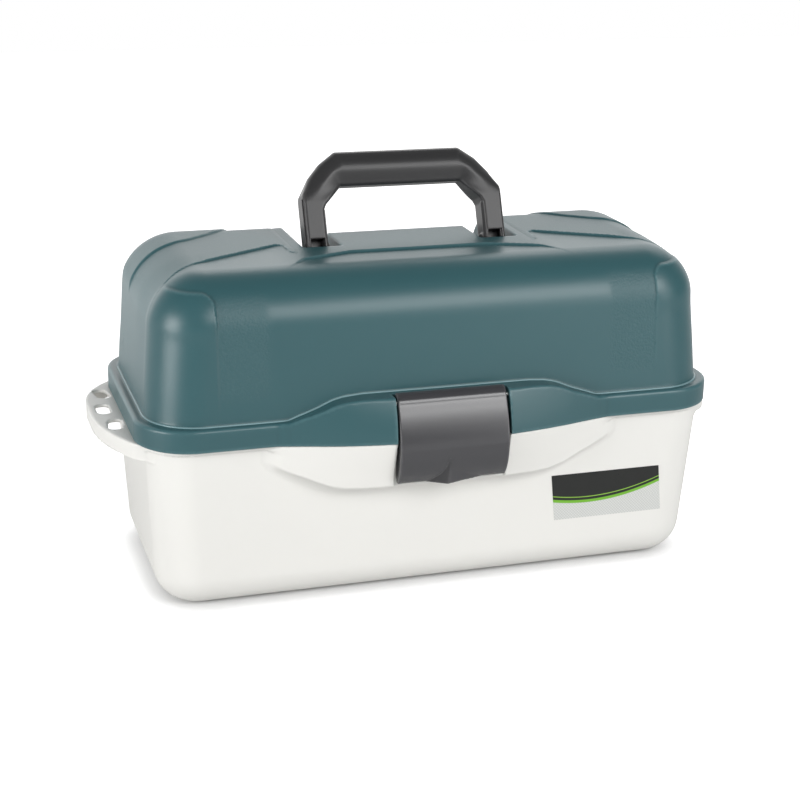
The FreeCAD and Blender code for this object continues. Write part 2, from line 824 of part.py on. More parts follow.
def arc_corner(previous, corner, after, radius):
    """Start, middle and end of an arc that rounds one corner of an outline."""
    back = (previous - corner).normalize()
    ahead = (after - corner).normalize()
    half = math.acos(max(-1, min(1, back.dot(ahead)))) / 2
    reach = radius / math.tan(half)
    bisector = (back + ahead).normalize()
    centre = corner + bisector * (radius / math.sin(half))
    return (corner + back * reach, centre - bisector * radius, corner + ahead * reach)


def rounded_outline(points, radii):
    """A closed wire through points; a radius above zero rounds that corner."""
    stops = []
    count = len(points)
    for index, (corner, radius) in enumerate(zip(points, radii)):
        if radius > 0:
            stops.append(arc_corner(points[index - 1], corner, points[(index + 1) % count],
                                    radius))
        else:
            stops.append((corner, None, corner))
    edges = []
    for index, (start, middle, end) in enumerate(stops):
        if middle is not None:
            edges.append(Part.Arc(start, middle, end).toShape())
        following = stops[(index + 1) % count][0]
        edges.append(Part.makeLine(end, following))
    return Part.Wire(edges)


def handle_outline(y):
    inner_leg_x = handle_outer_x - handle_leg_width
    right = [(handle_outer_x, 0, 0), (handle_outer_x, handle_shoulder_z, handle_outer_round),
             (handle_top_x, handle_top_z, handle_outer_round)]
    back = [(handle_inner_top_x, handle_top_z - handle_grip_height, handle_inner_round),
            (inner_leg_x, handle_inner_shoulder_z, handle_inner_round), (inner_leg_x, 0, 0)]
    points = right + [(-x, z, r) for x, z, r in reversed(right)]
    points += [(-x, z, r) for x, z, r in reversed(back)] + back
    corners = [Vector(x, y, z) for x, z, r in points]
    return rounded_outline(corners, [r for x, z, r in points])


def handle():
    """Made upright round its pivot line, then set on the pivot and leaned back."""
    inner_leg_x = handle_outer_x - handle_leg_width
    body = Part.Face(handle_outline(-handle_front_y)).extrude(Vector(0, handle_depth, 0))
    long_edges = [e for e in body.Edges if e.BoundBox.ZMin > handle_foot_radius
                  and e.BoundBox.YLength < slack]
    body = body.makeFillet(handle_edge_round, long_edges)
    front_cut = block((inner_leg_x + handle_side_wall, -handle_front_y - overrun, -overrun),
                      (handle_outer_x - handle_side_wall, 0, handle_cut_z))
    hollow = block((inner_leg_x + handle_side_wall, -handle_front_y - overrun, -overrun),
                   (handle_outer_x - handle_side_wall, handle_depth + overrun,
                    -handle_pin_radius))
    groove = block((handle_outer_x - handle_groove_width, -handle_front_y + handle_side_wall, 0),
                   (handle_outer_x + overrun,
                    -handle_front_y + handle_side_wall + handle_groove_depth,
                    handle_shoulder_z - handle_outer_round / 2))
    for foot in both_sides(rod(handle_foot_radius, inner_leg_x, handle_outer_x, 0, 0)):
        body = body.fuse(foot)
    for cut in both_sides(front_cut) + both_sides(hollow) + both_sides(groove):
        body = body.cut(cut)
    hole = rod(handle_pin_radius + running_gap, inner_leg_x - overrun,
               handle_outer_x + overrun, 0, 0)
    for cut in both_sides(hole):
        body = body.cut(cut)
    body = body.removeSplitter()
    body.rotate(Vector(0, 0, 0), x_axis, -handle_lean)
    body.translate(Vector(0, 0, handle_pivot_z))
    return body


def handle_pin():
    return rod(handle_pin_radius, well_inner_x - handle_pin_seat, well_outer_x
               + handle_pin_seat / 2, 0, handle_pivot_z)


# Tray arms

def arm(base_y):
    """One flat arm on the right-hand side, with a hole for each rivet."""
    start = arm_point(base_y, 0)
    end = arm_point(base_y, arm_reach)
    direction = Vector(0, end[0] - start[0], end[1] - start[1]).normalize()
    across = Vector(0, -direction.z, direction.y) * (arm_width / 2)
    corners = [Vector(arm_inner_x, *p) for p in (start, end)]
    outline = [corners[0] + across, corners[0] - across, corners[1] - across,
               corners[1] + across]
    bar = Part.Face(Part.makePolygon(outline + outline[:1])).extrude(Vector(arm_plate, 0, 0))
    distances = [0] + [tray_distance(index) for index in range(tray_count)]
    for distance in distances:
        y, z = arm_point(base_y, distance)
        bar = bar.fuse(rod(arm_end_radius, arm_inner_x, arm_inner_x + arm_plate, y, z))
    for distance in distances:
        y, z = arm_point(base_y, distance)
        bar = bar.cut(rod(rivet_radius + running_gap, arm_inner_x - overrun,
                          arm_inner_x + arm_plate + overrun, y, z))
    return bar.removeSplitter()


def base_rivet(base_y):
    """The rivet that holds an arm to its boss in the base."""
    head_x = arm_inner_x - side_gap
    y, z = arm_point(base_y, 0)
    head = rod(rivet_head_radius, head_x - rivet_head, head_x, y, z)
    return head.fuse(rod(rivet_radius, head_x, arm_inner_x + arm_plate + boss_seat, y, z))


def tray_rivet(base_y, index):
    """The rivet that holds a tray to an arm; the lowest tray's ends blind in a thick lug."""
    y, z = arm_point(base_y, tray_distance(index))
    wall_in = tray_half_length - tray_wall
    outside = arm_inner_x + arm_plate + side_gap
    if index == 0:
        inside = rod(rivet_radius, wall_in - tray_lug_seat + 2 * tray_wall, wall_in, y, z)
    else:
        inside = rod(rivet_head_radius, wall_in - rivet_head, wall_in, y, z)
    shank = rod(rivet_radius, wall_in, outside, y, z)
    outside_head = rod(rivet_head_radius, outside, outside + rivet_head, y, z)
    return inside.fuse(shank).fuse(outside_head).removeSplitter()


# Trays

def tray_outline(inset, z):
    """The rounded plan of a tray, which sits a little forward of the box's middle."""
    wire = rounded_rectangle(2 * (tray_half_length - inset),
                             tray_front_y + tray_rear_y - 2 * inset, tray_corner - inset, z)
    wire.translate(Vector(0, (tray_rear_y - tray_front_y) / 2, 0))
    return Part.Face(wire)


def tray_rows():
    """The front and rear limits of the two rows of compartments."""
    split = tray_wall / 2
    return ((-tray_front_y + tray_wall, tray_row_split_y - split),
            (tray_row_split_y + split, tray_rear_y - tray_wall))


def divider_places(index, row):
    """Which of a row's grooves hold a divider, as counts of the groove pitch."""
    return tray_divider_counts[index][row]


def tray(index):
    low = tray_bottom(index)
    body = tray_outline(0, low).extrude(Vector(0, 0, tray_height))
    pocket = tray_outline(tray_wall, low + tray_wall).extrude(Vector(0, 0, tray_height))
    split = block((-tray_half_length, tray_row_split_y - tray_wall / 2, low),
                  (tray_half_length, tray_row_split_y + tray_wall / 2,
                   low + tray_height - divider_drop))
    body = body.cut(pocket.cut(split))
    groove_limit = int((tray_half_length - tray_corner) / tray_groove_pitch)
    for front, rear in tray_rows():
        for number in range(-groove_limit, groove_limit + 1):
            x = number * tray_groove_pitch
            body = body.cut(block((x - tray_groove_width / 2, front - tray_groove_depth,
                                   low + tray_wall),
                                  (x + tray_groove_width / 2, rear + tray_groove_depth,
                                   low + tray_height - divider_drop)))
    if index == 0:
        for base_y in (arm_front_y, arm_rear_y):
            y, z = arm_point(base_y, tray_distance(index))
            lug = rod(tray_lug_radius, tray_half_length - tray_lug_seat, tray_half_length, y, z)
            for piece in both_sides(lug):
                body = body.fuse(piece)
    if index == tray_count - 1:
        for piece in both_sides(tray_ear(index)):
            body = body.fuse(piece)
    for base_y in (arm_front_y, arm_rear_y):
        y, z = arm_point(base_y, tray_distance(index))
        wall_in = tray_half_length - tray_wall
        if index == 0:
            start = tray_half_length - tray_lug_seat + tray_wall
        else:
            start = wall_in
            for seat in both_sides(rod(rivet_head_radius, wall_in - rivet_head, wall_in, y, z)):
                body = body.cut(seat)
        for hole in both_sides(rod(rivet_radius, start, tray_half_length + tray_wall, y, z)):
            body = body.cut(hole)
    return body.removeSplitter()


def tray_ear(index):
    """The slotted ear outside one end of the upper tray, with the web that carries it."""
    top = tray_bottom(index) + tray_height - tray_wall
    low = stud_z - stud_radius - ear_rim
    plate = block((ear_inner_x, stud_y - ear_half_width, low),
                  (ear_inner_x + ear_plate, stud_y + ear_half_width, top))
    web = block((tray_half_length - tray_wall / 2, stud_y - ear_web_half_width,
                 tray_bottom(index) + ear_rim),
                (ear_inner_x + ear_plate / 2, stud_y + ear_web_half_width, top))
    slot = block((ear_inner_x - ear_plate, stud_y - ear_slot_half_width,
                  stud_z - stud_radius - ear_slot_gap),
                 (ear_inner_x + 2 * ear_plate, stud_y + ear_slot_half_width,
                  stud_z + stud_radius + ear_slot_rise + ear_slot_gap))
    return plate.fuse(web).cut(slot)


def divider(index, row, number):
    """A loose cross divider that stands in one pair of grooves."""
    front, rear = tray_rows()[row]
    x = number * tray_groove_pitch
    reach = tray_groove_depth - divider_gap
    low = tray_bottom(index) + tray_wall
    return block((x - divider_plate / 2, front - reach, low),
                 (x + divider_plate / 2, rear + reach,
                  tray_bottom(index) + tray_height - divider_drop))


def sticker():
    """A thin slanted sticker that lies on the leaning front wall of the base."""
    half = sticker_length / 2
    rise = sticker_height / 2
    slant = sticker_slant / 2
    points = [(-half + slant, -rise), (half + slant, -rise), (half - slant, rise),
              (-half - slant, rise)]
    corners = [Vector(x, 0, z) for x, z in points]
    plate = Part.Face(Part.makePolygon(corners + corners[:1]))
    plate = plate.extrude(Vector(0, -sticker_plate, 0))
    plate.rotate(Vector(0, 0, 0), x_axis, math.degrees(math.atan2(base_draft, base_height)))
    plate.translate(Vector(sticker_x, -front_wall_y(sticker_z), sticker_z))
    return plate


tray_names = ("lower_tray", "middle_tray", "upper_tray")

os.makedirs("parts", exist_ok=True)
write("base_tub", [base_tub()])
write("lid_shell", [lid_shell()])
write("hinge_pins", [rod(hinge_pin_radius, side * hinge_centre_x - hinge_pin_half,
                         side * hinge_centre_x + hinge_pin_half, hinge_y, hinge_z)
                     for side in (-1, 1)])
write("latch", [latch()])
write("latch_pin", [latch_pin_rod(0)])
write("handle", [handle()])
write("handle_pin_right", [handle_pin()])
write("handle_pin_left", [mirrored(handle_pin())])
write("front_arm_right", [arm(arm_front_y)])
write("front_arm_left", [mirrored(arm(arm_front_y))])
write("rear_arm_right", [arm(arm_rear_y)])
write("rear_arm_left", [mirrored(arm(arm_rear_y))])
write("arm_base_rivets", [piece for base_y in (arm_front_y, arm_rear_y)
                          for piece in both_sides(base_rivet(base_y))])
for index, name in enumerate(tray_names):
    write(name, [tray(index)])
    write(name + "_rivets", [piece for base_y in (arm_front_y, arm_rear_y)
                             for piece in both_sides(tray_rivet(base_y, index))])
    write(name + "_dividers", [divider(index, row, number) for row in (0, 1)
                               for number in divider_places(index, row)])
write("front_sticker", [sticker()])
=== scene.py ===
# %% [markdown]
# # A fishing tackle box, dressed for its portrait
# The box is two moulded shells with a snap latch in front, a folding handle on top and three
# trays inside. The measured model comes in first, and every piece made here sits on it.

# %% Load the measured model
import math

import bpy
import numpy as np
from mathutils import Matrix, Vector


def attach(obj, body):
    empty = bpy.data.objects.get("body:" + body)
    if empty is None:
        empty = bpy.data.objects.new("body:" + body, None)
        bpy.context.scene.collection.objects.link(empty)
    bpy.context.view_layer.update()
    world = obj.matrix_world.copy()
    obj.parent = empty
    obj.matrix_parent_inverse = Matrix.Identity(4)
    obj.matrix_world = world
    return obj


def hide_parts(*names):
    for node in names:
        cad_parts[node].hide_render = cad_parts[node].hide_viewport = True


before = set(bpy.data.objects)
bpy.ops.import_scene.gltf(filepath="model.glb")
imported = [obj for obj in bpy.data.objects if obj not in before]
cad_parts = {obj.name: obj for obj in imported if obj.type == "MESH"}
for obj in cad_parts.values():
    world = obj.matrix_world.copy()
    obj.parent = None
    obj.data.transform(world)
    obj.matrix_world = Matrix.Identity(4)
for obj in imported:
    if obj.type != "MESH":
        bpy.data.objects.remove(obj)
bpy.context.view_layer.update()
scene = bpy.context.scene
print("nodes in the model:", len(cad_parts))


def placed(name, data):
    """A new object that carries the data and is part of the scene."""
    piece = bpy.data.objects.new(name, data)
    scene.collection.objects.link(piece)
    return piece


# %% [markdown]
# ## The camera
# A moulded box is judged by its outline, so the camera comes first. It stands low and to the
# left, as in the photograph: these angles, the lens and the distance were fitted to the corners
# of the box, and the small roll is the tilt of the photographer's hand.

# %% Place the camera
view_azimuth = math.radians(-17.712)
view_elevation = math.radians(18.699)
view_roll = math.radians(0.957)
view_distance = 1.2764
view_shift_right = -0.0037
view_shift_up = 0.10641

camera_data = bpy.data.cameras.new("portrait_camera")
camera_data.lens = 75.33
camera_data.sensor_width = 36.0
camera_data.clip_start = 0.05
camera_data.clip_end = 60.0
camera = placed("portrait_camera", camera_data)
scene.camera = camera

back = Vector((math.sin(view_azimuth) * math.cos(view_elevation),
               -math.cos(view_azimuth) * math.cos(view_elevation),
               math.sin(view_elevation)))
right = Vector((math.cos(view_azimuth), math.sin(view_azimuth), 0.0))
up = back.cross(right)
turned_right = right * math.cos(view_roll) + up * math.sin(view_roll)
turned_up = back.cross(turned_right)
rotation = Matrix((turned_right, turned_up, back)).transposed()
camera.location = back * view_distance + right * view_shift_right + up * view_shift_up
camera.rotation_mode = "QUATERNION"
camera.rotation_quaternion = rotation.to_quaternion()
print("camera at", [round(v, 3) for v in camera.location])

# %% [markdown]
# ## Shapes as distance fields
# Injection-moulded shells have no sharp edges: every wall runs into the next through a small
# radius. Bevelling such a shell face by face is slow, so each shell is written as a distance
# field instead, a formula that says how far a point is from the plastic. Fields are joined,
# cut and rounded with one line each, and the rounding comes for free.

# %% Rules for joining fields, all lengths in millimetres
def meet(a, b, radius=0.0):
    """What two fields share, with the edge between them rounded."""
    if radius <= 0:
        return np.maximum(a, b)
    return np.minimum(-radius, np.maximum(a, b)) + np.hypot(np.maximum(radius + a, 0),
                                                            np.maximum(radius + b, 0))


def join(a, b, radius=0.0):
    """Both fields together, with a fillet where they meet."""
    if radius <= 0:
        return np.minimum(a, b)
    return np.maximum(radius, np.minimum(a, b)) - np.hypot(np.maximum(radius - a, 0),
                                                           np.maximum(radius - b, 0))


def carve(a, b, radius=0.0):
    """The first field with the second taken out."""
    return meet(a, -b, radius)


def ease(t):
    """A smooth step from 0 to 1."""
    t = np.clip(t, 0, 1)
    return t * t * (3 - 2 * t)


# %% Plain shapes that the fields are built from
def rectangle(x, y, half_x, half_y, corner):
    """Distance to a rounded rectangle in plan."""
    over_x = np.abs(x) - half_x + corner
    over_y = np.abs(y) - half_y + corner
    return (np.hypot(np.maximum(over_x, 0), np.maximum(over_y, 0))
            + np.minimum(np.maximum(over_x, over_y), 0) - corner)


def polygon(x, y, points):
    """Signed distance to a closed outline, negative inside."""
    nearest, sign = np.inf, 1.0
    for (ax, ay), (bx, by) in zip(points, points[-1:] + points[:-1]):
        edge_x, edge_y = bx - ax, by - ay
        from_x, from_y = x - ax, y - ay
        along = np.clip((from_x * edge_x + from_y * edge_y) / (edge_x ** 2 + edge_y ** 2), 0, 1)
        nearest = np.minimum(nearest, (from_x - edge_x * along) ** 2
                             + (from_y - edge_y * along) ** 2)
        above, below = y >= ay, y < by
        left = edge_x * from_y > edge_y * from_x
        flips = (above & below & left) | ~(above | below | left)
        sign = np.where(flips, -sign, sign)
    return sign * np.sqrt(nearest)


def curve_through(points, count=8):
    """A smooth line through the points."""
    line = [np.array(p, float) for p in points]
    line = [2 * line[0] - line[1]] + line + [2 * line[-1] - line[-2]]
    t = np.arange(0, 1, 1 / count)[:, None]
    pieces = []
    for a, b, c, d in zip(line, line[1:], line[2:], line[3:]):
        pieces.append(0.5 * (2 * b + (c - a) * t + (2 * a - 5 * b + 4 * c - d) * t ** 2
                             + (3 * b - a - 3 * c + d) * t ** 3))
    pieces.append(line[-2][None])
    return [tuple(p) for p in np.concatenate(pieces)]


def charted(points, low, high, step=0.5, blur=0.0):
    """A closed outline as a chart of distances: quick to read, its corners eased by blur."""
    u = np.arange(low[0], high[0] + step, step)
    v = np.arange(low[1], high[1] + step, step)
    chart = polygon(u[:, None], v[None, :], points)
    if blur > 0:
        kernel = np.hanning(2 * int(blur / step) + 3)
        kernel /= kernel.sum()
        pad = len(kernel) // 2
        for _ in range(2):
            chart = np.pad(chart, ((pad, pad), (0, 0)), mode="reflect", reflect_type="odd")
            chart = sum(k * chart[n:n + chart.shape[0] - 2 * pad] for n, k in enumerate(kernel)).T

    def read(a, b):
        place_u = np.clip((a - u[0]) / step, 0, len(u) - 1.001)
        place_v = np.clip((b - v[0]) / step, 0, len(v) - 1.001)
        i, j = place_u.astype(int), place_v.astype(int)
        share_u, share_v = place_u - i, place_v - j
        return ((chart[i, j] * (1 - share_v) + chart[i, j + 1] * share_v) * (1 - share_u)
                + (chart[i + 1, j] * (1 - share_v) + chart[i + 1, j + 1] * share_v) * share_u)
    return read


def segment(y, z, start, end):
    """Distance to a straight line between two points."""
    edge_y, edge_z = end[0] - start[0], end[1] - start[1]
    from_y, from_z = y - start[0], z - start[1]
    along = np.clip((from_y * edge_y + from_z * edge_z) / (edge_y ** 2 + edge_z ** 2), 0, 1)
    return np.hypot(from_y - edge_y * along, from_z - edge_z * along)


def smooth_table(pairs, reach, blur):
    """A curve through (place, value) pairs with its corners eased over blur millimetres."""
    places = np.arange(0, reach, 0.5)
    values = np.interp(places, *zip(*pairs))
    width = int(blur / 0.5) // 2 * 2 + 1
    padded = np.pad(values, width, mode="edge")
    kernel = np.hanning(width + 2)
    kernel /= kernel.sum()
    smooth = np.convolve(padded, kernel, mode="same")[width:-width]
    return lambda x: np.interp(x, places, smooth)


# %% [markdown]
# ## From a field to a skin
# The field is sampled on a grid. Wherever a grid line passes through the surface, its place and the
# surface's slope there are noted, and each grid cell gets the one point that suits all the slopes
# round it (a method known as dual contouring). It keeps true edges sharp and round ones round, so
# the light runs over the walls as on real plastic. How sharply the surface bends is kept with each
# point for the finishes: the edges of a used box are rubbed paler, and creases and hollows get
# painted shade.

# %% The skin maker
def slope_at(field, points, step=0.1):
    """The field and its gradient at each point, from one small step along each axis."""
    x, y, z = points.T
    middle = field(x, y, z)
    ahead = [field(x + step, y, z), field(x, y + step, z), field(x, y, z + step)]
    return middle, (np.stack(ahead, 1) - middle[:, None]) / step


def unit(vectors):
    return vectors / np.maximum(np.linalg.norm(vectors, axis=1, keepdims=True), 1e-9)


def bend_at(field, points, step):
    """How sharply the surface bends at each point: above zero on edges, below in hollows."""
    x, y, z = points.T
    around = (field(x + step, y, z) + field(x - step, y, z) + field(x, y + step, z)
              + field(x, y - step, z) + field(x, y, z + step) + field(x, y, z - step))
    return (around - 6 * field(x, y, z)) / step ** 2


def sampled(field, low, high, cell):
    """The field on a grid, worked out finely only in the blocks near the surface."""
    block = 6
    counts = [int(math.ceil((b - a) / cell / block)) + 1 for a, b in zip(low, high)]
    axes = [a - 1.6 * cell + cell * np.arange(n * block) for a, n in zip(low, counts)]
    middles = [a.reshape(-1, block).mean(1) for a in axes]
    rough = np.broadcast_to(field(*np.ix_(*middles)), counts)
    values = np.repeat(np.repeat(np.repeat(rough, block, 0), block, 1), block, 2)
    inner = np.arange(block)
    near = np.argwhere(np.abs(rough) < 1.5 * block * cell)
    for some in np.array_split(near, len(near) // 3000 + 1):
        i, j, k = [some[:, None, n] * block + inner for n in range(3)]
        i, j, k = i[:, :, None, None], j[:, None, :, None], k[:, None, None, :]
        values[i, j, k] = field(axes[0][i], axes[1][j], axes[2][k])
    for axis in range(3):
        for end in (0, -1):
            values[tuple(end if n == axis else slice(None) for n in range(3))] = cell
    return axes, values


def net_of(field, low, high, cell):
    """Points and four-sided faces that wrap the field's zero level."""
    axes, values = sampled(field, low, high, cell)
    shape, origin = values.shape, np.array([a[0] for a in axes])
    inside = values < 0
    count = np.zeros(tuple(n - 1 for n in shape), np.int8)
    for i, j, k in [(i, j, k) for i in (0, 1) for j in (0, 1) for k in (0, 1)]:
        count += inside[i:shape[0] - 1 + i, j:shape[1] - 1 + j, k:shape[2] - 1 + k]
    cells = np.argwhere((count > 0) & (count < 8))
    number = np.full(count.shape, -1, np.int64)
    number[tuple(cells.T)] = np.arange(len(cells))
    sums = np.zeros((13, len(cells)))
    faces = []
    for axis in range(3):
        u, v = [n for n in range(3) if n != axis]
        lower = np.take(inside, range(shape[axis] - 1), axis)
        upper = np.take(inside, range(1, shape[axis]), axis)
        edges = np.argwhere(lower != upper)
        ends = edges + (np.arange(3) == axis)
        a, b = values[tuple(edges.T)], values[tuple(ends.T)]
        points = (edges + (a / (a - b))[:, None] * (np.arange(3) == axis)) * cell + origin
        miss, slope = slope_at(field, points)
        length = np.maximum(np.linalg.norm(slope, axis=1), 0.2)
        normal = slope / length[:, None]
        points = points - (np.clip(miss / length, -cell / 2, cell / 2))[:, None] * normal
        reach = (normal * points).sum(1)
        parts = [normal[:, 0] ** 2, normal[:, 1] ** 2, normal[:, 2] ** 2,
                 normal[:, 0] * normal[:, 1], normal[:, 0] * normal[:, 2],
                 normal[:, 1] * normal[:, 2], *(normal.T * reach), *points.T, np.ones(len(points))]
        ring = []
        for du, dv in ((-1, -1), (0, -1), (0, 0), (-1, 0)):
            place = edges.copy()
            place[:, u] += du
            place[:, v] += dv
            ring.append(number[tuple(place.T)])
            for row, part in enumerate(parts):
                sums[row] += np.bincount(ring[-1], part, len(cells))
        quads = np.stack(ring, 1)
        leaves = lower[tuple(edges.T)] != (axis == 1)
        faces.append(np.where(leaves[:, None], quads, quads[:, ::-1]))
    xx, yy, zz, xy, xz, yz = sums[:6]
    middle = (sums[9:12] / sums[12]).T
    weight = 0.04 * sums[12]
    matrix = np.stack([xx + weight, xy, xz, xy, yy + weight, yz, xz, yz, zz + weight], 1)
    target = sums[6:9].T + weight[:, None] * middle
    points = np.linalg.solve(matrix.reshape(-1, 3, 3), target[:, :, None])[:, :, 0]
    lowest = cells * cell + origin
    return np.clip(points, lowest - 0.1 * cell, lowest + 1.1 * cell), np.concatenate(faces)


def mesh_from(name, points, faces):
    """A Blender mesh from point and face arrays, in metres."""
    mesh = bpy.data.meshes.new(name)
    mesh.vertices.add(len(points))
    mesh.vertices.foreach_set("co", (points / 1000).astype(np.float32).ravel())
    mesh.loops.add(faces.size)
    mesh.loops.foreach_set("vertex_index", faces.astype(np.int32).ravel())
    mesh.polygons.add(len(faces))
    sides = faces.shape[1]
    mesh.polygons.foreach_set("loop_start", np.arange(0, faces.size, sides, dtype=np.int32))
    mesh.update(calc_edges=True)
    return mesh


def thinned(mesh, share):
    """The mesh with its flattest faces merged, so that detail stays where it is needed."""
    holder = placed("holder", mesh)
    collapse = holder.modifiers.new("thin", "DECIMATE")
    collapse.ratio = share
    depsgraph = bpy.context.evaluated_depsgraph_get()
    thin = bpy.data.meshes.new_from_object(holder.evaluated_get(depsgraph), depsgraph=depsgraph)
    bpy.data.objects.remove(holder)
    bpy.data.meshes.remove(mesh)
    return thin


true_edge_angle = math.radians(24)


def corner_normals(field, mesh, points):
    """A normal for each corner of each face: smooth, except across a true edge."""
    count = len(mesh.loops)
    owner = np.zeros(count, np.int32)
    mesh.loops.foreach_get("vertex_index", owner)
    centres = np.zeros(len(mesh.polygons) * 3, np.float32)
    mesh.polygons.foreach_get("center", centres)
    sizes = np.zeros(len(mesh.polygons), np.int32)
    mesh.polygons.foreach_get("loop_total", sizes)
    centres = np.repeat(centres.reshape(-1, 3).astype(float) * 1000, sizes, axis=0)
    smooth = unit(slope_at(field, points)[1])[owner]
    own = unit(slope_at(field, points[owner] * 0.7 + centres * 0.3)[1])
    alike = (smooth * own).sum(1) > math.cos(true_edge_angle)
    return np.where(alike[:, None], smooth, own)


bend_step = 1.1
bend_start, bend_range = 0.10, 0.55


def moulded(name, field, low, high, cell, body, nodes, share=1.0, masks=None, lean=None):
    """A moulded piece: field to skin, thinned, with its normals and its masks."""
    mesh = mesh_from(name, *net_of(field, low, high, cell))
    if share < 1:
        mesh = thinned(mesh, share)
    mesh.name = name
    points = np.zeros(len(mesh.vertices) * 3, np.float32)
    mesh.vertices.foreach_get("co", points)
    points = points.reshape(-1, 3).astype(float) * 1000
    normals = corner_normals(field, mesh, points)
    bend = bend_at(field, points, bend_step)
    # Convex edges get a mask for paler rubbed edges; concave places get a mask for painted shade.
    layers = {"edge": np.clip((bend - bend_start) / bend_range, 0, 1),
              "hollow_shade": np.clip((-bend - bend_start) / bend_range, 0, 1)}
    for key, mask in (masks or {}).items():
        layers[key] = mask(*points.T)
    for key, layer in layers.items():
        attribute = mesh.attributes.new(key, "FLOAT", "POINT")
        attribute.data.foreach_set("value", np.broadcast_to(layer, len(points)).astype(np.float32))
    if lean is not None:
        mesh.transform(lean)
        normals = normals @ np.array(lean.to_3x3()).T
    mesh.polygons.foreach_set("use_smooth", np.ones(len(mesh.polygons), bool))
    mesh.normals_split_custom_set(normals.astype(np.float32))
    piece = placed(name, mesh)
    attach(piece, body)
    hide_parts(*nodes)
    print(name, "has", len(mesh.polygons), "faces")
    return piece


# %% [markdown]
# ## The lid
# The lid is a box with big radii. Its top carries three levels that were cut in the mould:
# a smooth front, a raised band with a bent brow, and higher ends. The flange runs all
# round its foot and swells into a bow where the latch hangs. The levels are written as
# outlines in plan, so the steps between them can be soft and can fade like the real ones.

# %% Sizes of the lid
lid_foot, lid_top, lid_draft = 137.0, 233.6, 8.2
lid_half_x, lid_half_y, lid_corner, lid_round = 202.55, 91.65, 37.0, 34.0
lid_wall, lid_low = 2.6, 121.3
flange_half_x, flange_half_y, flange_corner = 210.0, 96.6, 39.5
hinge_y, hinge_z, knuckle_radius, hinge_bore = 100.0, 112.0, 4.45, 2.08
latch_pin_y, latch_pin_z, latch_swing = -102.2, 147.0, 7.7
recess_middle_x, recess_half_x, recess_y = 0.2, 40.7, -97.3
leg_x, handle_pin_y, well_floor_z = 65.75, 12.0, 215.5
brow = [(0, -27), (50, -27), (87, -40), (98, -52), (108, -66), (116, -84)]
band_edge = [(70, -26), (83, -25.4), (88, -24), (91.5, -19), (92, -9), (93, 0), (97, 3.5),
             (101, 1.5), (152, -28.5), (215, -64)]
end_edge = [(112, 100), (118, 66), (124, 54.7), (138, 41.3), (155, 28.2), (167, 22), (181, 20.3),
            (215, 19)]
far = 260.0
chart_low, chart_high = (-20.0, -125.0), (240.0, 125.0)
brow_chart = charted([(-far, -27)] + brow + [(far, -84), (far, far), (-far, far)],
                     chart_low, chart_high, 0.5, 3.0)
band_chart = charted([(-far, -26)] + band_edge + [(far, -64), (far, far), (-far, far)],
                     chart_low, chart_high, 0.5, 1.5)
end_chart = charted(end_edge + [(far, 19), (far, far), (112, far)], chart_low, chart_high,
                    0.5, 3.5)
bow_reach = smooth_table([(0, 17.2), (40, 16.9), (68, 12.6), (87, 8.4), (99, 4.9), (117, 0.5),
                          (130, 0), (200, 0)], 220, 14)
bow_ledge = smooth_table([(0, 153), (60, 153.1), (73, 152.1), (81, 150.2), (87, 147.6),
                          (96, 143.8), (104, 140.6), (112, 137), (124, 134.5), (200, 134)], 220, 7)


# %% The levels of the lid
def level_mask(distance, width=1.7):
    """1 inside an outline and 0 outside, with a soft step of the given width."""
    return ease(0.5 - distance / width)


def band_mask(x, y):
    """The band: a platform behind the brow that runs out into the areas at both ends."""
    across = np.abs(x)
    platform = level_mask(brow_chart(across, y), 2.2) * ease((106 - across) / 28)
    outer = level_mask(band_chart(across, y), 1.7) * ease((across - 80) / 10)
    behind = ease((y + 60) / 50)
    outer = outer * (1 - ease((across - 148) / 9) * (1 - behind))
    return np.maximum(platform, outer)


def end_mask(x, y):
    """The higher end fields, behind and outside of their slanted edge."""
    return level_mask(end_chart(np.abs(x), y), 2.6)


def panel_distance(x, y, z):
    """Distance to the raised panel round a front corner."""
    from_inner, from_top = np.abs(x) - 157.0, 224.4 - z
    corner = 9.0
    near = np.hypot(np.maximum(corner - from_inner, 0), np.maximum(corner - from_top, 0))
    inside = np.minimum(np.minimum(from_inner, from_top), corner) - corner
    reach = np.where((from_inner < corner) & (from_top < corner), corner - near, inside + corner)
    return -reach


def rise_of(x, y, z):
    """How far the lid's surface is raised above its plain form."""
    height = 0.25 * ease((z - 140) / 20) + 0.75 * ease((z - 165) / 58)
    band = 1.6 * height * band_mask(x, y)
    ends = 1.3 * height * end_mask(x, y) * ease((z - 200) / 14)
    panel = level_mask(panel_distance(x, y, z), 1.3) * ease((-44 - y) / 16)
    panel = panel * (0.25 * ease((z - 138) / 30) + 0.85 * ease((z - 190) / 20))
    return band + ends + panel


def dome(x, y, z, grow, rounding):
    """The lid's plain form, grown or shrunk."""
    taper = lid_draft * np.clip((z - lid_foot) / (lid_top - lid_foot), 0, 2)
    side = rectangle(x, y, lid_half_x - taper, lid_half_y - taper, lid_corner) * 0.9964 - grow
    return meet(side, z - lid_top - grow, rounding)


# %% The bow, the handle well and the hinge knuckles of the lid
bow_full_reach = 16.9
bow_lean, bow_curl = 0.07, 0.0056
bow_sink, bow_sink_from, bow_sink_over = 5.0, 113.0, 14.0
ledge_slope, ledge_sag = 0.02, 1.7


def sag(reach):
    """How far the ledge hangs below its outline where the bow stands out."""
    return ledge_sag * ease(reach / 8.0)


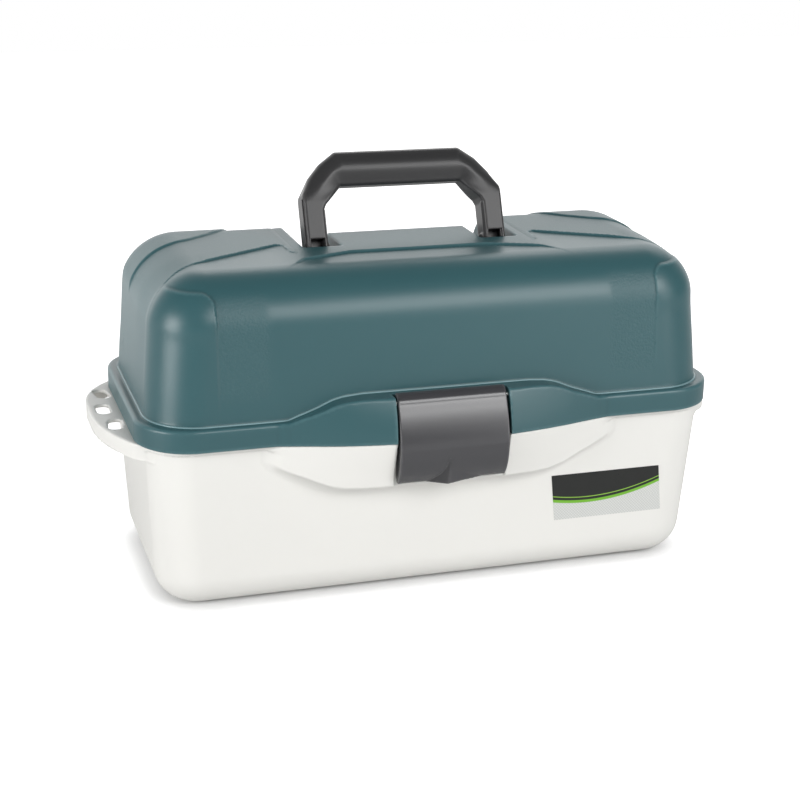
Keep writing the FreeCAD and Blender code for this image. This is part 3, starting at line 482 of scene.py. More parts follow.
def bow(x, y, z, inset, floor):
    """The swelling in front of the flange: a ledge on top, ends that sink into the flange."""
    across = np.abs(x)
    reach = bow_reach(across) - bow_sink * ease((across - bow_sink_from) / bow_sink_over)
    above = np.maximum(z - lid_low, 0)
    back = (bow_lean * above + bow_curl * above ** 2) * reach / bow_full_reach
    front = (-y - flange_half_y - reach + back) * 0.96 + inset
    ledge = z - bow_ledge(across) - ledge_slope * (-y - 91.5) + sag(reach) + inset
    body = meet(front, ledge, max(1.6 - inset, 0.3))
    return meet(body, np.maximum(np.maximum(floor - z, y + 80.0), across - 135.0), 0.3)


well_floor = smooth_table([(0, well_floor_z), (57, well_floor_z), (72, 210.5), (86, 196),
                           (140, 140)], 150, 6)


def well(x, y, z):
    """The space for the handle: two leg channels and the bay behind the platform."""
    across = np.abs(x)
    floor = (well_floor(y) - z) * 0.8
    bay = meet(meet(across - 79.5, 29.6 - y, 5.0), floor, 3.0)
    channel = meet(meet(np.abs(across - leg_x) - 13.75, np.abs(y - handle_pin_y) - 22.5, 2.2),
                   well_floor_z - z, 1.5)
    return join(bay, channel, 1.2)


def knuckles(x, y, z, middle, half, root):
    """Barrel and web of a hinge knuckle."""
    barrel = np.hypot(y - hinge_y, z - hinge_z) - knuckle_radius
    web = segment(y, z, (hinge_y, hinge_z), root) - 2.0
    return meet(join(barrel, web, 1.0), np.abs(np.abs(x) - middle) - half, 0.5)


def lid_field(x, y, z):
    """The whole lid: dome, flange and bow, hollowed, with its recess, studs and knuckles."""
    shell = dome(x, y, z, 0.0, lid_round) - rise_of(x, y, z)
    shell = np.maximum(shell, 128.0 - z)
    flange = meet(rectangle(x, y, flange_half_x, flange_half_y, flange_corner),
                  z - lid_foot, 2.5)
    shell = join(shell, flange, 2.2)
    shell = join(shell, bow(x, y, z, 0.0, lid_low - 5), 2.0)
    shell = meet(shell, lid_low - z, 0.5)
    handle_well = well(x, y, z)
    room = meet(dome(x, y, z, -lid_wall, lid_round - lid_wall), lid_wall - handle_well, 1.5)
    shell = carve(shell, room, 0.5)
    under_bow = np.maximum(bow(x, y, z, lid_wall, 60.0), np.maximum(42.5 - np.abs(x), y + 93.0))
    shell = carve(shell, under_bow, 0.5)
    shell = carve(shell, handle_well, 1.6)
    recess_side = np.abs(x - recess_middle_x) - recess_half_x
    shell = carve(shell, np.maximum(recess_side, y - recess_y), 0.5)
    swing_room = np.hypot(y - latch_pin_y, z - latch_pin_z) - latch_swing
    shell = carve(shell, np.maximum(swing_room, recess_side), 0.3)
    across = np.abs(x)
    stud = np.hypot(y - 40.0, z - 158.0) - np.where(across > 189.1, 5.0, 2.5)
    stud = np.maximum(stud, np.maximum(185.3 - across, across - 200.5))
    shell = join(shell, stud, 0.5)
    shell = join(shell, knuckles(x, y, z, 118.0, 7.0, (95.3, 125.3)), 0.8)
    pin = np.maximum(np.hypot(y - hinge_y, z - hinge_z) - hinge_bore, np.abs(across - 118.0) - 20.0)
    return carve(shell, pin, 0.2)


# %% [markdown]
# Three kinds of surface were etched into the mould of the lid: a coarse stipple on the band and
# on two upright strips of the front, and fine satin elsewhere. The places are kept with
# the mesh as a mask, because a mask made of the same outlines stays exactly on the levels.

# %% Where the lid is stippled
def stipple_mask(x, y, z):
    """1 on the stippled strips of the front, less on the band of the top, 0 elsewhere."""
    across = np.abs(x)
    strip = ease((across - 120) / 5) * ease((158 - across) / 3) * ease((-72 - y) / 6)
    strip = strip * ease((228 - z) / 14) * ease((z - 148) / 10)
    top = 0.45 * band_mask(x, y) * ease((z - 205) / 12)
    return np.maximum(strip, top)


lid = moulded("lid_skin", lid_field, (-211, -115, 106), (211, 105.5, 238), 1.5, "lid",
              ["lid_shell"], share=0.5, masks={"stipple": stipple_mask})

# %% [markdown]
# Where the walls of the lid stand on the flange runs the brightest line on the lid. It is far finer
# than the lid's own mesh, so it is drawn as a thin cord that follows the flange and climbs over the
# bow: a small bead in a pale teal, which is a painted highlight.

# %% The bead on the flange
def flange_walk(step=2.0):
    """Points where wall and flange meet, from the left end round the front to the right."""
    line = []
    end_y = lid_half_y - lid_corner
    for y in np.arange(end_y, -end_y, -step):
        line.append((-lid_half_x, y, lid_foot))
    for turn in np.radians(np.arange(0, 90, 3)):
        line.append((-lid_half_x + lid_corner * (1 - math.cos(turn)),
                     -end_y - lid_corner * math.sin(turn), lid_foot))
    for x in np.arange(-lid_half_x + lid_corner, 0, step):
        ledge_z = bow_ledge(-x) - sag(bow_reach(-x))
        line.append((x, -lid_half_y, float(np.maximum(ledge_z, lid_foot))))
    return line + [(-x, y, z) for x, y, z in reversed(line)]


def cord(name, line, radius, sides=7):
    """A thin round cord along a line, as points and four-sided faces."""
    path = np.array(line, float)
    lift = lid_draft * (path[:, 2] - lid_foot) / (lid_top - lid_foot)
    inward = np.stack([np.sign(path[:, 0]) * (np.abs(path[:, 1]) < lid_half_y - 0.5),
                       np.sign(path[:, 1]) * (np.abs(path[:, 0]) < lid_half_x - 0.5)], 1)
    path[:, :2] -= unit(inward) * (lift - 0.5)[:, None]
    path[:, 2] += 0.5
    ahead = unit(np.gradient(path, axis=0))
    side = unit(np.cross(ahead, (0.0, 0.0, 1.0)))
    top = np.cross(side, ahead)
    turn = np.linspace(0, 2 * math.pi, sides, endpoint=False)
    rings = (path[:, None] + radius * (side[:, None] * np.cos(turn)[None, :, None]
                                       + top[:, None] * np.sin(turn)[None, :, None]))
    place = np.arange(len(path) - 1)[:, None] * sides
    here, there = np.arange(sides), (np.arange(sides) + 1) % sides
    faces = np.stack([place + here, place + there, place + sides + there, place + sides + here], 2)
    mesh = mesh_from(name, rings.reshape(-1, 3), faces.reshape(-1, 4))
    mesh.polygons.foreach_set("use_smooth", np.ones(len(mesh.polygons), bool))
    return placed(name, mesh)


bead = cord("flange_bead", flange_walk(), 0.75)
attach(bead, "lid")
print("bead has", len(bead.data.polygons), "faces")

# %% [markdown]
# ## The base
# The base is a draughted tub with a big radius at its foot. A small lip stiffens the rim, a
# chin fills in below the bow of the lid so that the latch has something to close on, and
# a slotted wing at each end takes a strap.

# %% Sizes of the base
base_high, base_draft, base_wall = 121.0, 6.85, 2.8
base_half_x, base_half_y, base_corner, base_round = 204.2, 90.2, 30.0, 24.0
chin_crease = smooth_table([(0, 88), (56, 88), (66, 88.5), (73, 89), (80, 90.5), (90, 94.5),
                            (100, 99.5), (110, 103.8), (116, 107.5), (121, 110.6), (140, 121)],
                           200, 8)


def circle_through(a, b, c):
    """Centre and radius of the circle through three points in plan."""
    (ax, ay), (bx, by), (cx, cy) = a, b, c
    d = 2 * (ax * (by - cy) + bx * (cy - ay) + cx * (ay - by))
    ux = ((ax ** 2 + ay ** 2) * (by - cy) + (bx ** 2 + by ** 2) * (cy - ay)
          + (cx ** 2 + cy ** 2) * (ay - by)) / d
    uy = ((ax ** 2 + ay ** 2) * (cx - bx) + (bx ** 2 + by ** 2) * (ax - cx)
          + (cx ** 2 + cy ** 2) * (bx - ax)) / d
    return ux, uy, math.hypot(ax - ux, ay - uy)


wing_end_x, wing_root_x, slot_x = 230.45, 200.0, 220.6
wing_front_y, wing_rear_y = 2.0, 28.0
skirt_wall, skirt_middle_z, skirt_half = 2.2, 115.25, 5.75
slot_run, slot_radius = 5.7, 4.8
slots = ((-22.7, 8.0, -3.5), (11.5, 0.0, 0.2), (45.7, -8.0, -3.2))
front_arc = circle_through((202.8, -76.0), (221.6, -42.6), (wing_end_x, wing_front_y))
rear_arc = circle_through((wing_end_x, wing_rear_y), (221.6, 58.6), (202.8, 79.0))
chin_proud, chin_sink, chin_sink_from, chin_sink_over = 5.4, 14.4, 114.0, 22.0


# %% The base's field
def tub(x, y, z, inset):
    """The plain tub, shrunk by inset."""
    taper = base_draft * (1 - z / base_high)
    side = rectangle(x, y, base_half_x - taper, base_half_y - taper, base_corner) * 0.9984
    return meet(side + inset, inset - z, base_round - inset)


def chin(x, y, z, inset):
    """The chin below the bow, with a crease along its lower edge."""
    across = np.abs(x)
    below = base_high - z
    wall = base_half_y - base_draft * below / base_high
    proud = (bow_reach(across) + chin_proud
             - chin_sink * ease((across - chin_sink_from) / chin_sink_over))
    proud = proud * (1 - 0.0085 * below)
    front = (-y - wall - proud) * 0.95 + inset
    depth = np.clip((-y - wall) / 18.0, 0, 1.2)
    under = (chin_crease(across) - 5.0 + 5.0 * depth - z) * 0.9 + inset
    body = meet(front, under, max(1.3 - inset, 0.3))
    return np.maximum(body, np.maximum(y + 80.0, across - 150.0))


def wing(x, y, z):
    """The slotted wing at one end: a thin plate with a skirt that runs out at the front corner."""
    across = np.abs(x)
    run_out = 4.6 * ease((-y - 62.0) / 16.0)
    front = np.hypot(across - front_arc[0], y - front_arc[1]) - front_arc[2] + run_out
    front = front * (1 - 0.27 * ease((-y - 45.0) / 15.0))
    rear = np.hypot(across - rear_arc[0], y - rear_arc[1]) - rear_arc[2]
    arc = np.where(y < wing_front_y, front, np.where(y > wing_rear_y, rear, across - wing_end_x))
    plan = np.maximum(arc, wing_root_x - across)
    plate = np.abs(z - 119.7) - 1.3
    skirt = np.maximum(np.abs(z - skirt_middle_z) - skirt_half, -arc - skirt_wall)
    body = meet(plan, np.minimum(plate, skirt), 0.7)
    for middle, slant, shift in slots:
        turn = math.radians(slant)
        along = (slot_run * -math.sin(turn), slot_run * math.cos(turn))
        middle_x = slot_x + shift
        slot = segment(across, y, (middle_x - along[0], middle - along[1]),
                       (middle_x + along[0], middle + along[1])) - slot_radius
        body = carve(body, slot, 0.7)
    return body


def base_field(x, y, z):
    """The whole base: tub, lip, chin and wings, hollowed, with the latch's seat and its ridge."""
    across = np.abs(x)
    outer = tub(x, y, z, 0.0)
    lip = meet(rectangle(x, y, base_half_x + 1.5, base_half_y + 1.5, base_corner + 1.5),
               118.3 - z, 0.8)
    outer = join(outer, lip, 0.5)
    outer = join(outer, chin(x, y, z, 0.0), 6.0)
    seat = np.maximum(across - 40.6, y + 101.5)
    outer = carve(outer, seat, 0.7)
    outer = join(outer, wing(x, y, z), 2.4)
    outer = meet(outer, z - base_high, 0.5)
    behind_seat = np.maximum(across - 43.4, y + 98.7)
    room = join(tub(x, y, z, base_wall), np.maximum(chin(x, y, z, base_wall), -behind_seat), 0.5)
    shell = carve(outer, room, 0.5)
    wall_point = (88.3, 107.4)
    for side in (103.6, 132.4):
        shell = join(shell, knuckles(x, y, z, side, 7.0, wall_point), 0.8)
    for pivot in (10.0, 52.0):
        boss = np.hypot(y - pivot, z - 88.0) - 7.5
        boss = meet(boss, np.maximum(183.8 - across, across - 201.0), 0.4)
        shell = join(shell, boss, 0.8)
    ridge = meet(segment(y, z, (-100.5, 99.0), (-101.6, 99.0)) - 1.2, across - 30.0, 0.4)
    shell = join(shell, ridge, 0.4)
    pin = np.maximum(np.hypot(y - hinge_y, z - hinge_z) - 2.0, np.abs(across - 118.0) - 22.5)
    return carve(shell, pin, 0.2)


def satin_mask(x, y, z):
    """0 at the foot of the base and 1 from its middle upwards."""
    return ease((z - 30) / 60)


base = moulded("base_skin", base_field, (-231, -113, -0.5), (231, 105, 121.5), 1.5, "base",
               ["base_tub"], share=0.5, masks={"satin": satin_mask})

# %% [markdown]
# ## The latch
# One bent plate hangs from a pin in the bow and snaps over a ridge on the base. Its middle is
# drawn out into a lip for a fingertip, which the light picks out as one dark flank.

# %% The latch's profile and field
latch_face = [(-98.9, 153.3), (-101.4, 152.5), (-103.9, 150.4), (-106.0, 147.0), (-108.2, 142.0),
              (-109.85, 138.0), (-111.35, 134.0), (-112.7, 130.0), (-113.85, 126.0),
              (-114.7, 122.0), (-115.25, 118.0), (-115.4, 114.6), (-114.9, 108.0),
              (-113.8, 102.4), (-112.2, 97.8), (-110.0, 93.9), (-107.4, 90.4)]


def offset_line(points, distance):
    """The same line moved sideways by distance."""
    line = np.array(points, float)
    heading = np.gradient(line, axis=0)
    heading /= np.linalg.norm(heading, axis=1, keepdims=True)
    return [tuple(p) for p in line + distance * np.stack([-heading[:, 1], heading[:, 0]], 1)]


latch_face = curve_through(latch_face)
latch_back = offset_line(latch_face, 2.8)
latch_cheek = offset_line(latch_face, 1.0)[16:] + [(-104.4, 91.6), (-103.3, 96.0), (-103.3, 143.0),
                                                    (-100.5, 149.0)]
latch_low, latch_high = (-120.0, 84.0), (-94.0, 156.0)
latch_half, cheek_x, cheek_half = 39.0, 37.6, 1.4
plate_chart = charted(latch_face + latch_back[::-1], latch_low, latch_high, 0.2, 0.4)
cheek_chart = charted(latch_cheek, latch_low, latch_high, 0.2)


def flank(points, inside):
    """Distance to the plane through three points, negative on the side of inside."""
    a, b, c = [np.array(p, float) for p in points]
    normal = np.cross(b - a, c - a)
    normal /= np.linalg.norm(normal)
    if np.dot(np.array(inside) - a, normal) > 0:
        normal = -normal
    return lambda x, y, z: (x - a[0]) * normal[0] + (y - a[1]) * normal[1] + (z - a[2]) * normal[2]


lip_apex, lip_left = (-4.0, -114.7, 108.5), (-19.0, -106.8, 90.3)
lip_right, lip_tip = (23.0, -106.8, 90.3), (-4.0, -112.6, 89.0)
lip_inside = (-1.0, -108.0, 93.0)
lip_left_flank = flank((lip_apex, lip_left, lip_tip), lip_inside)
lip_right_flank = flank((lip_apex, lip_tip, lip_right), lip_inside)
lip_under = flank((lip_left, lip_right, lip_tip), lip_inside)


def latch_field(x, y, z):
    """The whole latch: plate, two cheeks, barrel, hook and the lip for a fingertip."""
    across = np.abs(x)
    plate = meet(plate_chart(y, z), across - latch_half, 0.7)
    cheek = meet(cheek_chart(y, z), np.abs(across - cheek_x) - cheek_half, 0.5)
    barrel = meet(np.hypot(y - latch_pin_y, z - latch_pin_z) - 3.3, across - 38.0, 0.5)
    body = join(join(plate, cheek, 0.8), barrel, 0.8)
    hook = meet(segment(y, z, (-107.4, 92.6), (-103.4, 94.6)) - 1.1, across - 30.0, 0.4)
    body = join(body, hook, 0.4)
    under = np.maximum(np.maximum(lip_under(x, y, z), y + 104.5), z - 109.5)
    lip = meet(np.maximum(lip_left_flank(x, y, z), under), lip_right_flank(x, y, z), 0.8)
    return join(body, lip, 0.35)


def flank_shade(x, y, z):
    """The left flank of the lip looks down and away from the light; it is darkened with painted
    shade.
    """
    near = ease(1.2 - np.abs(lip_left_flank(x, y, z)) / 0.5)
    return 3 * near * ease((x + 20) / 2) * ease((-3.4 - x) / 0.8) * ease((109.5 - z) / 1.5)


# The lip's left flank goes in as the shade mask: painted shade.
latch = moulded("latch_skin", latch_field, (-40, -117, 88), (40, -97, 152), 0.8, "latch",
                ["latch"], share=0.6, masks={"hollow_shade": flank_shade})

# %% [markdown]
# ## The handle
# The handle is one moulding: a crowned grip, two bent shoulders and two flat legs that turn
# on pins inside the lid. It is made upright and then leaned back onto its rest, since every
# outline is easier to write that way.

# %% The handle's field
grip_top, grip_low = 72.9, 47.6
handle_outer = [(74.0, -2.0), (74.0, 42.0), (67.5, 54.5), (58.5, 64.5), (46.5, grip_top)]
handle_inner = [(44.5, grip_low), (57.4, 34.6), (59.2, 31.0), (59.2, -2.0)]
handle_chart = charted(handle_outer + [(-60.0, grip_top), (-60.0, grip_low)] + handle_inner,
                       (-3.0, -14.0), (80.0, 78.0), 0.25, 1.6)


def handle_field(x, y, z):
    """The whole handle, upright, with its grooves, its feet and the bores for its pins."""
    across = np.abs(x)
    outline = handle_chart(across, z)
    grip = ease((z - 36.0) / 20.0)
    from_middle = np.clip(1 + outline / ((grip_top - grip_low) / 2), 0, 1.1)
    crown = 6.4 * grip * from_middle ** 2
    depth = (np.abs(y - 0.5) - 10.0 + crown) * (1 - 0.22 * grip)
    body = meet(outline, depth, 2.3)
    foot = np.hypot(y, z) - 9.0
    foot = meet(foot, np.abs(across - leg_x) - 8.25, 0.8)
    body = join(body, foot, 1.0)
    groove = np.maximum(np.maximum(71.6 - across, np.abs(y + 5.2) - 1.9), z - 39.0)
    body = carve(body, groove, 0.5)
    mouth = np.maximum(np.maximum(np.abs(across - 66.3) - 5.2, z - 10.2), y - 2.0)
    body = carve(body, mouth, 0.5)
    inner_rib = meet(np.hypot(across - 60.0, y + 5.6) - 1.7, z - 31.0, 0.8)
    body = join(body, np.maximum(inner_rib, 4.0 - z), 0.8)
    pin = np.hypot(y, z) - 3.08
    return carve(body, pin, 0.2)


rest_lean = math.radians(-23)
handle_lean = Matrix.Translation((-0.0014, 0, 0.2265)) @ Matrix.Rotation(rest_lean, 4, "X")
handle = moulded("handle_skin", handle_field, (-75, -10.5, -10), (75, 11.5, 71.5), 0.9, "handle",
                 ["handle"], share=0.6, lean=handle_lean)

# %% [markdown]
# ## Finishes
# Moulded plastic is never one flat colour: pigment drifts a little in the melt, the mould leaves a
# grain, and hands polish the edges. Shade in creases and hollows is painted into the colour as
# well. These effects are shared, so each is a node group that is built once and placed in each
# finish with its own values.

# %% Helpers for node trees
def new_finish(name):
    """A new material with its node tree and its Principled shader."""
    material = bpy.data.materials.new(name)
    material.use_nodes = True
    return material, material.node_tree, material.node_tree.nodes["Principled BSDF"]


def add_node(tree, kind, **settings):
    """A node of the given kind with its settings made."""
    node = tree.nodes.new(kind)
    for key, value in settings.items():
        setattr(node, key, value)
    return node


def new_group(name, inputs, outputs):
    """An empty node group with named inputs (name, kind, default) and outputs (name, kind)."""
    group = bpy.data.node_groups.new(name, "ShaderNodeTree")
    for label, kind, default in inputs:
        socket = group.interface.new_socket(label, in_out="INPUT", socket_type=kind)
        if default is not None:
            socket.default_value = default
    for label, kind in outputs:
        group.interface.new_socket(label, in_out="OUTPUT", socket_type=kind)
    entry = add_node(group, "NodeGroupInput")
    leave = add_node(group, "NodeGroupOutput")
    return group, entry.outputs, leave.inputs


def maths(tree, operation, a, b=None, clamp=False):
    """A Math node on two sockets or numbers; returns its output."""
    node = add_node(tree, "ShaderNodeMath", operation=operation, use_clamp=clamp)
    for place, value in enumerate((a, b)):
        if value is None:
            continue
        if isinstance(value, (int, float)):
            node.inputs[place].default_value = value
        else:
            tree.links.new(value, node.inputs[place])
    return node.outputs[0]


def ranged(tree, value, start, stop, low, high):
    """Low below start, high above stop, and a soft step between."""
    node = add_node(tree, "ShaderNodeMapRange", interpolation_type="SMOOTHSTEP")
    tree.links.new(value, node.inputs["Value"])
    for key, number in (("From Min", start), ("From Max", stop), ("To Min", low), ("To Max", high)):
        node.inputs[key].default_value = number
    return node.outputs["Result"]


def own_place(tree):
    """The place on the object itself, so that a pattern moves with its piece."""
    return add_node(tree, "ShaderNodeTexCoord").outputs["Object"]


def noise(tree, place, scale, detail=3.0, roughness=0.55):
    """A noise texture's grey level."""
    node = add_node(tree, "ShaderNodeTexNoise")
    tree.links.new(place, node.inputs["Vector"])
    if isinstance(scale, (int, float)):
        node.inputs["Scale"].default_value = scale
    else:
        tree.links.new(scale, node.inputs["Scale"])
    node.inputs["Detail"].default_value = detail
    node.inputs["Roughness"].default_value = roughness
    return node.outputs["Fac"]


def blend_colour(tree, share, a, b, mode="MIX"):
    """Mixes two colours by a share; a and b are sockets or colours."""
    node = add_node(tree, "ShaderNodeMix", data_type="RGBA", blend_type=mode)
    for socket, value in ((node.inputs[0], share), (node.inputs[6], a), (node.inputs[7], b)):
        if hasattr(value, "links"):
            tree.links.new(value, socket)
        else:
            socket.default_value = value
    return node.outputs[2]


# %% Group: the drift of pigment in the melt
drift, drift_in, drift_out = new_group(
    "Pigment drift",
    [("Place", "NodeSocketVector", None), ("Colour", "NodeSocketColor", (0.5, 0.5, 0.5, 1)),
     ("Pale colour", "NodeSocketColor", (0.6, 0.6, 0.6, 1)), ("Amount", "NodeSocketFloat", 0.2)],
    [("Colour", "NodeSocketColor")])
clouds = noise(drift, drift_in["Place"], 9.0, 4.0)
flow = noise(drift, drift_in["Place"], 46.0, 2.0)
both = maths(drift, "ADD", clouds, maths(drift, "MULTIPLY", flow, 0.4))
both = maths(drift, "MULTIPLY", both, 0.8)
spread = maths(drift, "MULTIPLY", maths(drift, "SUBTRACT", both, 0.35), drift_in["Amount"],
               clamp=True)
drift.links.new(blend_colour(drift, spread, drift_in["Colour"], drift_in["Pale colour"]),
                drift_out["Colour"])

# %% Group: rubbed edges and painted shade in hollows
rub_and_shade, rub_and_shade_in, rub_and_shade_out = new_group(
    "Rubbed edges and painted shade",
    [("Place", "NodeSocketVector", None), ("Colour", "NodeSocketColor", (0.5, 0.5, 0.5, 1)),
     ("Edge colour", "NodeSocketColor", (0.7, 0.7, 0.7, 1)), ("Edge", "NodeSocketFloat", 0.0),
     ("Hollow", "NodeSocketFloat", 0.0), ("Wear", "NodeSocketFloat", 0.4),
     ("Roughness", "NodeSocketFloat", 0.4)],
    [("Colour", "NodeSocketColor"), ("Roughness", "NodeSocketFloat")])
patch = noise(rub_and_shade, rub_and_shade_in["Place"], 60.0, 3.0)
worn = maths(rub_and_shade, "MULTIPLY", rub_and_shade_in["Edge"], maths(rub_and_shade, "ADD", patch, 0.15))
worn = maths(rub_and_shade, "MULTIPLY", worn, rub_and_shade_in["Wear"], clamp=True)
rubbed = blend_colour(rub_and_shade, worn, rub_and_shade_in["Colour"], rub_and_shade_in["Edge colour"])
# Concave places are darkened here: painted shade in creases and hollows.
shade = maths(rub_and_shade, "MULTIPLY", rub_and_shade_in["Hollow"], 0.35, clamp=True)
dark = blend_colour(rub_and_shade, 1.0, rubbed, (0.55, 0.55, 0.55, 1), "MULTIPLY")
rub_and_shade.links.new(blend_colour(rub_and_shade, shade, rubbed, dark), rub_and_shade_out["Colour"])
polish = maths(rub_and_shade, "SUBTRACT", rub_and_shade_in["Roughness"], maths(rub_and_shade, "MULTIPLY", worn, 0.12))
rub_and_shade.links.new(maths(rub_and_shade, "ADD", polish, maths(rub_and_shade, "MULTIPLY", shade, 0.2), clamp=True),
              rub_and_shade_out["Roughness"])

# %% Group: the grain and the stipple of the mould
grain, grain_in, grain_out = new_group(
    "Mould grain",
    [("Place", "NodeSocketVector", None), ("Fine scale", "NodeSocketFloat", 2600.0),
     ("Stipple", "NodeSocketFloat", 0.0), ("Stipple scale", "NodeSocketFloat", 620.0)],
    [("Height", "NodeSocketFloat"), ("Speck", "NodeSocketFloat")])
fine = noise(grain, grain_in["Place"], grain_in["Fine scale"], 2.0)
coarse = noise(grain, grain_in["Place"], grain_in["Stipple scale"], 3.0, 0.65)
pits = add_node(grain, "ShaderNodeTexVoronoi")
grain.links.new(grain_in["Place"], pits.inputs["Vector"])
grain.links.new(grain_in["Stipple scale"], pits.inputs["Scale"])
bumps = maths(grain, "MULTIPLY", maths(grain, "SUBTRACT", coarse, pits.outputs["Distance"]),
              grain_in["Stipple"])
grain.links.new(maths(grain, "ADD", maths(grain, "MULTIPLY", fine, 0.25), bumps),
                grain_out["Height"])
specks = maths(grain, "MULTIPLY", maths(grain, "SUBTRACT", coarse, 0.5), 4.0, clamp=True)
grain.links.new(maths(grain, "MULTIPLY", specks, grain_in["Stipple"], clamp=True),
                grain_out["Speck"])

# %% [markdown]
# Each finish is one Principled BSDF. Fixed numbers are set on its own sockets, and only what
# changes over the surface comes from the groups.

# %% The maker of plastic finishes
def put_group(tree, group, **values):
    """Places a node group; each value is a socket, a colour or a number."""
    node = add_node(tree, "ShaderNodeGroup", node_tree=group)
    for key, value in values.items():
        socket = node.inputs[key.replace("_", " ")]
        if hasattr(value, "links"):
            tree.links.new(value, socket)
        else:
            socket.default_value = value
    return node


def attribute(tree, name):
    """A mask that the mesh carries."""
    node = add_node(tree, "ShaderNodeAttribute", attribute_name=name)
    return node.outputs["Fac"]


def plastic(name, colour, pale, edge_colour, roughness, wear=0.4, speck_colour=None, bump=0.12,
            specular=0.5):
    """A moulded plastic with drift, rubbed edges, painted shade in hollows and grain; a speck
    colour adds the stipple.
    """
    material, tree, shader = new_finish(name)
    place = own_place(tree)
    base_colour = put_group(tree, drift, Place=place, Colour=colour, Pale_colour=pale, Amount=0.35)
    edge, hollow_shade = attribute(tree, "edge"), attribute(tree, "hollow_shade")
    # This group adds both rubbed edges and painted shade in hollows.
    rubbed = put_group(tree, rub_and_shade, Place=place, Colour=base_colour.outputs[0],
                       Edge_colour=edge_colour, Edge=edge, Hollow=hollow_shade, Wear=wear,
                       Roughness=roughness)
    out_colour, out_rough = rubbed.outputs["Colour"], rubbed.outputs["Roughness"]
    if speck_colour is None:
        relief = put_group(tree, grain, Place=place)
    else:
        stipple = attribute(tree, "stipple")
        relief = put_group(tree, grain, Place=place, Stipple=stipple)
        speckled = maths(tree, "MULTIPLY", relief.outputs["Speck"], 0.18)
        out_colour = blend_colour(tree, speckled, out_colour, speck_colour)
        out_rough = maths(tree, "ADD", out_rough, maths(tree, "MULTIPLY", stipple, 0.14))
    bumped = add_node(tree, "ShaderNodeBump")
    bumped.inputs["Strength"].default_value = bump
    bumped.inputs["Distance"].default_value = 0.0006
    tree.links.new(relief.outputs["Height"], bumped.inputs["Height"])
    tree.links.new(out_colour, shader.inputs["Base Color"])
    tree.links.new(out_rough, shader.inputs["Roughness"])
    tree.links.new(bumped.outputs["Normal"], shader.inputs["Normal"])
    shader.inputs["Specular IOR Level"].default_value = specular
    return material


def paint(piece, material):
    """Gives a piece one finish in place of whatever it had."""
    piece.data.materials.clear()
    piece.data.materials.append(material)


# %% The finishes
teal = plastic("lid_teal", (0.030, 0.092, 0.104, 1), (0.040, 0.108, 0.120, 1),
               (0.14, 0.25, 0.27, 1), 0.35, speck_colour=(0.085, 0.165, 0.175, 1), bump=0.28)
off_white = plastic("base_off_white", (0.728, 0.722, 0.692, 1), (0.76, 0.755, 0.725, 1),
                    (0.90, 0.90, 0.88, 1), 0.42, wear=0.3, bump=0.08)
grip_grey = plastic("grip_charcoal", (0.030, 0.030, 0.031, 1), (0.040, 0.039, 0.040, 1),
                    (0.12, 0.116, 0.116, 1), 0.36, bump=0.12, specular=0.4)
charcoal = plastic("latch_charcoal", (0.042, 0.042, 0.046, 1), (0.054, 0.053, 0.058, 1),
                   (0.15, 0.145, 0.15, 1), 0.25, bump=0.04, specular=0.75)
tray_white = plastic("tray_grey_white", (0.66, 0.67, 0.65, 1), (0.72, 0.72, 0.70, 1),
                     (0.82, 0.82, 0.80, 1), 0.38, bump=0.06)
arm_black = plastic("arm_black", (0.035, 0.035, 0.037, 1), (0.05, 0.05, 0.052, 1),
                    (0.14, 0.14, 0.14, 1), 0.45, bump=0.1)
# The bead's pale teal is a painted highlight along the flange.
bead_painted_highlight = plastic("bead_painted_highlight", (0.16, 0.27, 0.29, 1), (0.20, 0.32, 0.34, 1),
                    (0.2, 0.3, 0.3, 1), 0.3)
for piece, finish in ((lid, teal), (bead, bead_painted_highlight), (base, off_white), (latch, charcoal),
                      (handle, grip_grey)):
    paint(piece, finish)
    print(piece.name, "is painted with", finish.name)

# %% [markdown]
# The rivets and pins are turned steel. A fine noise drives both its colour and its roughness,
# so the heads glint unevenly, as scratched metal does, rather than like a mirror.

# %% Steel
steel, steel_tree, steel_shader = new_finish("rivet_steel")
scratches = noise(steel_tree, own_place(steel_tree), 900.0, 4.0)
steel_shader.inputs["Metallic"].default_value = 1.0
steel_tree.links.new(blend_colour(steel_tree, scratches, (0.52, 0.52, 0.51, 1),
                                  (0.66, 0.66, 0.64, 1)), steel_shader.inputs["Base Color"])
steel_tree.links.new(maths(steel_tree, "ADD", maths(steel_tree, "MULTIPLY", scratches, 0.2), 0.2),
                     steel_shader.inputs["Roughness"])

# %% [markdown]
# ## The sticker
# A slanted label sits at the lower right of the front. It is a plain one: a black field, two
# curved lime stripes and a pale foot with a fine check screen. Two coordinates that run from
# -1 to 1 over the label place each of them.

# %% The label's print
label_middle, label_half = (0.127, 0.059), (0.042, 0.01775)
label, label_tree, label_shader = new_finish("label_print")
label_place = own_place(label_tree)
apart = add_node(label_tree, "ShaderNodeSeparateXYZ")
label_tree.links.new(label_place, apart.inputs[0])
label_x, label_z = [
    maths(label_tree, "DIVIDE", maths(label_tree, "SUBTRACT", apart.outputs[axis], middle), half)
    for axis, middle, half in zip("XZ", label_middle, label_half)]


def stripe(tree, line, low, high):
    """1 where line lies between low and high, with hair-wide soft edges."""
    above = maths(tree, "MULTIPLY", maths(tree, "SUBTRACT", line, low), 60.0, clamp=True)
    below = maths(tree, "MULTIPLY", maths(tree, "SUBTRACT", high, line), 60.0, clamp=True)
    return maths(tree, "MULTIPLY", above, below)


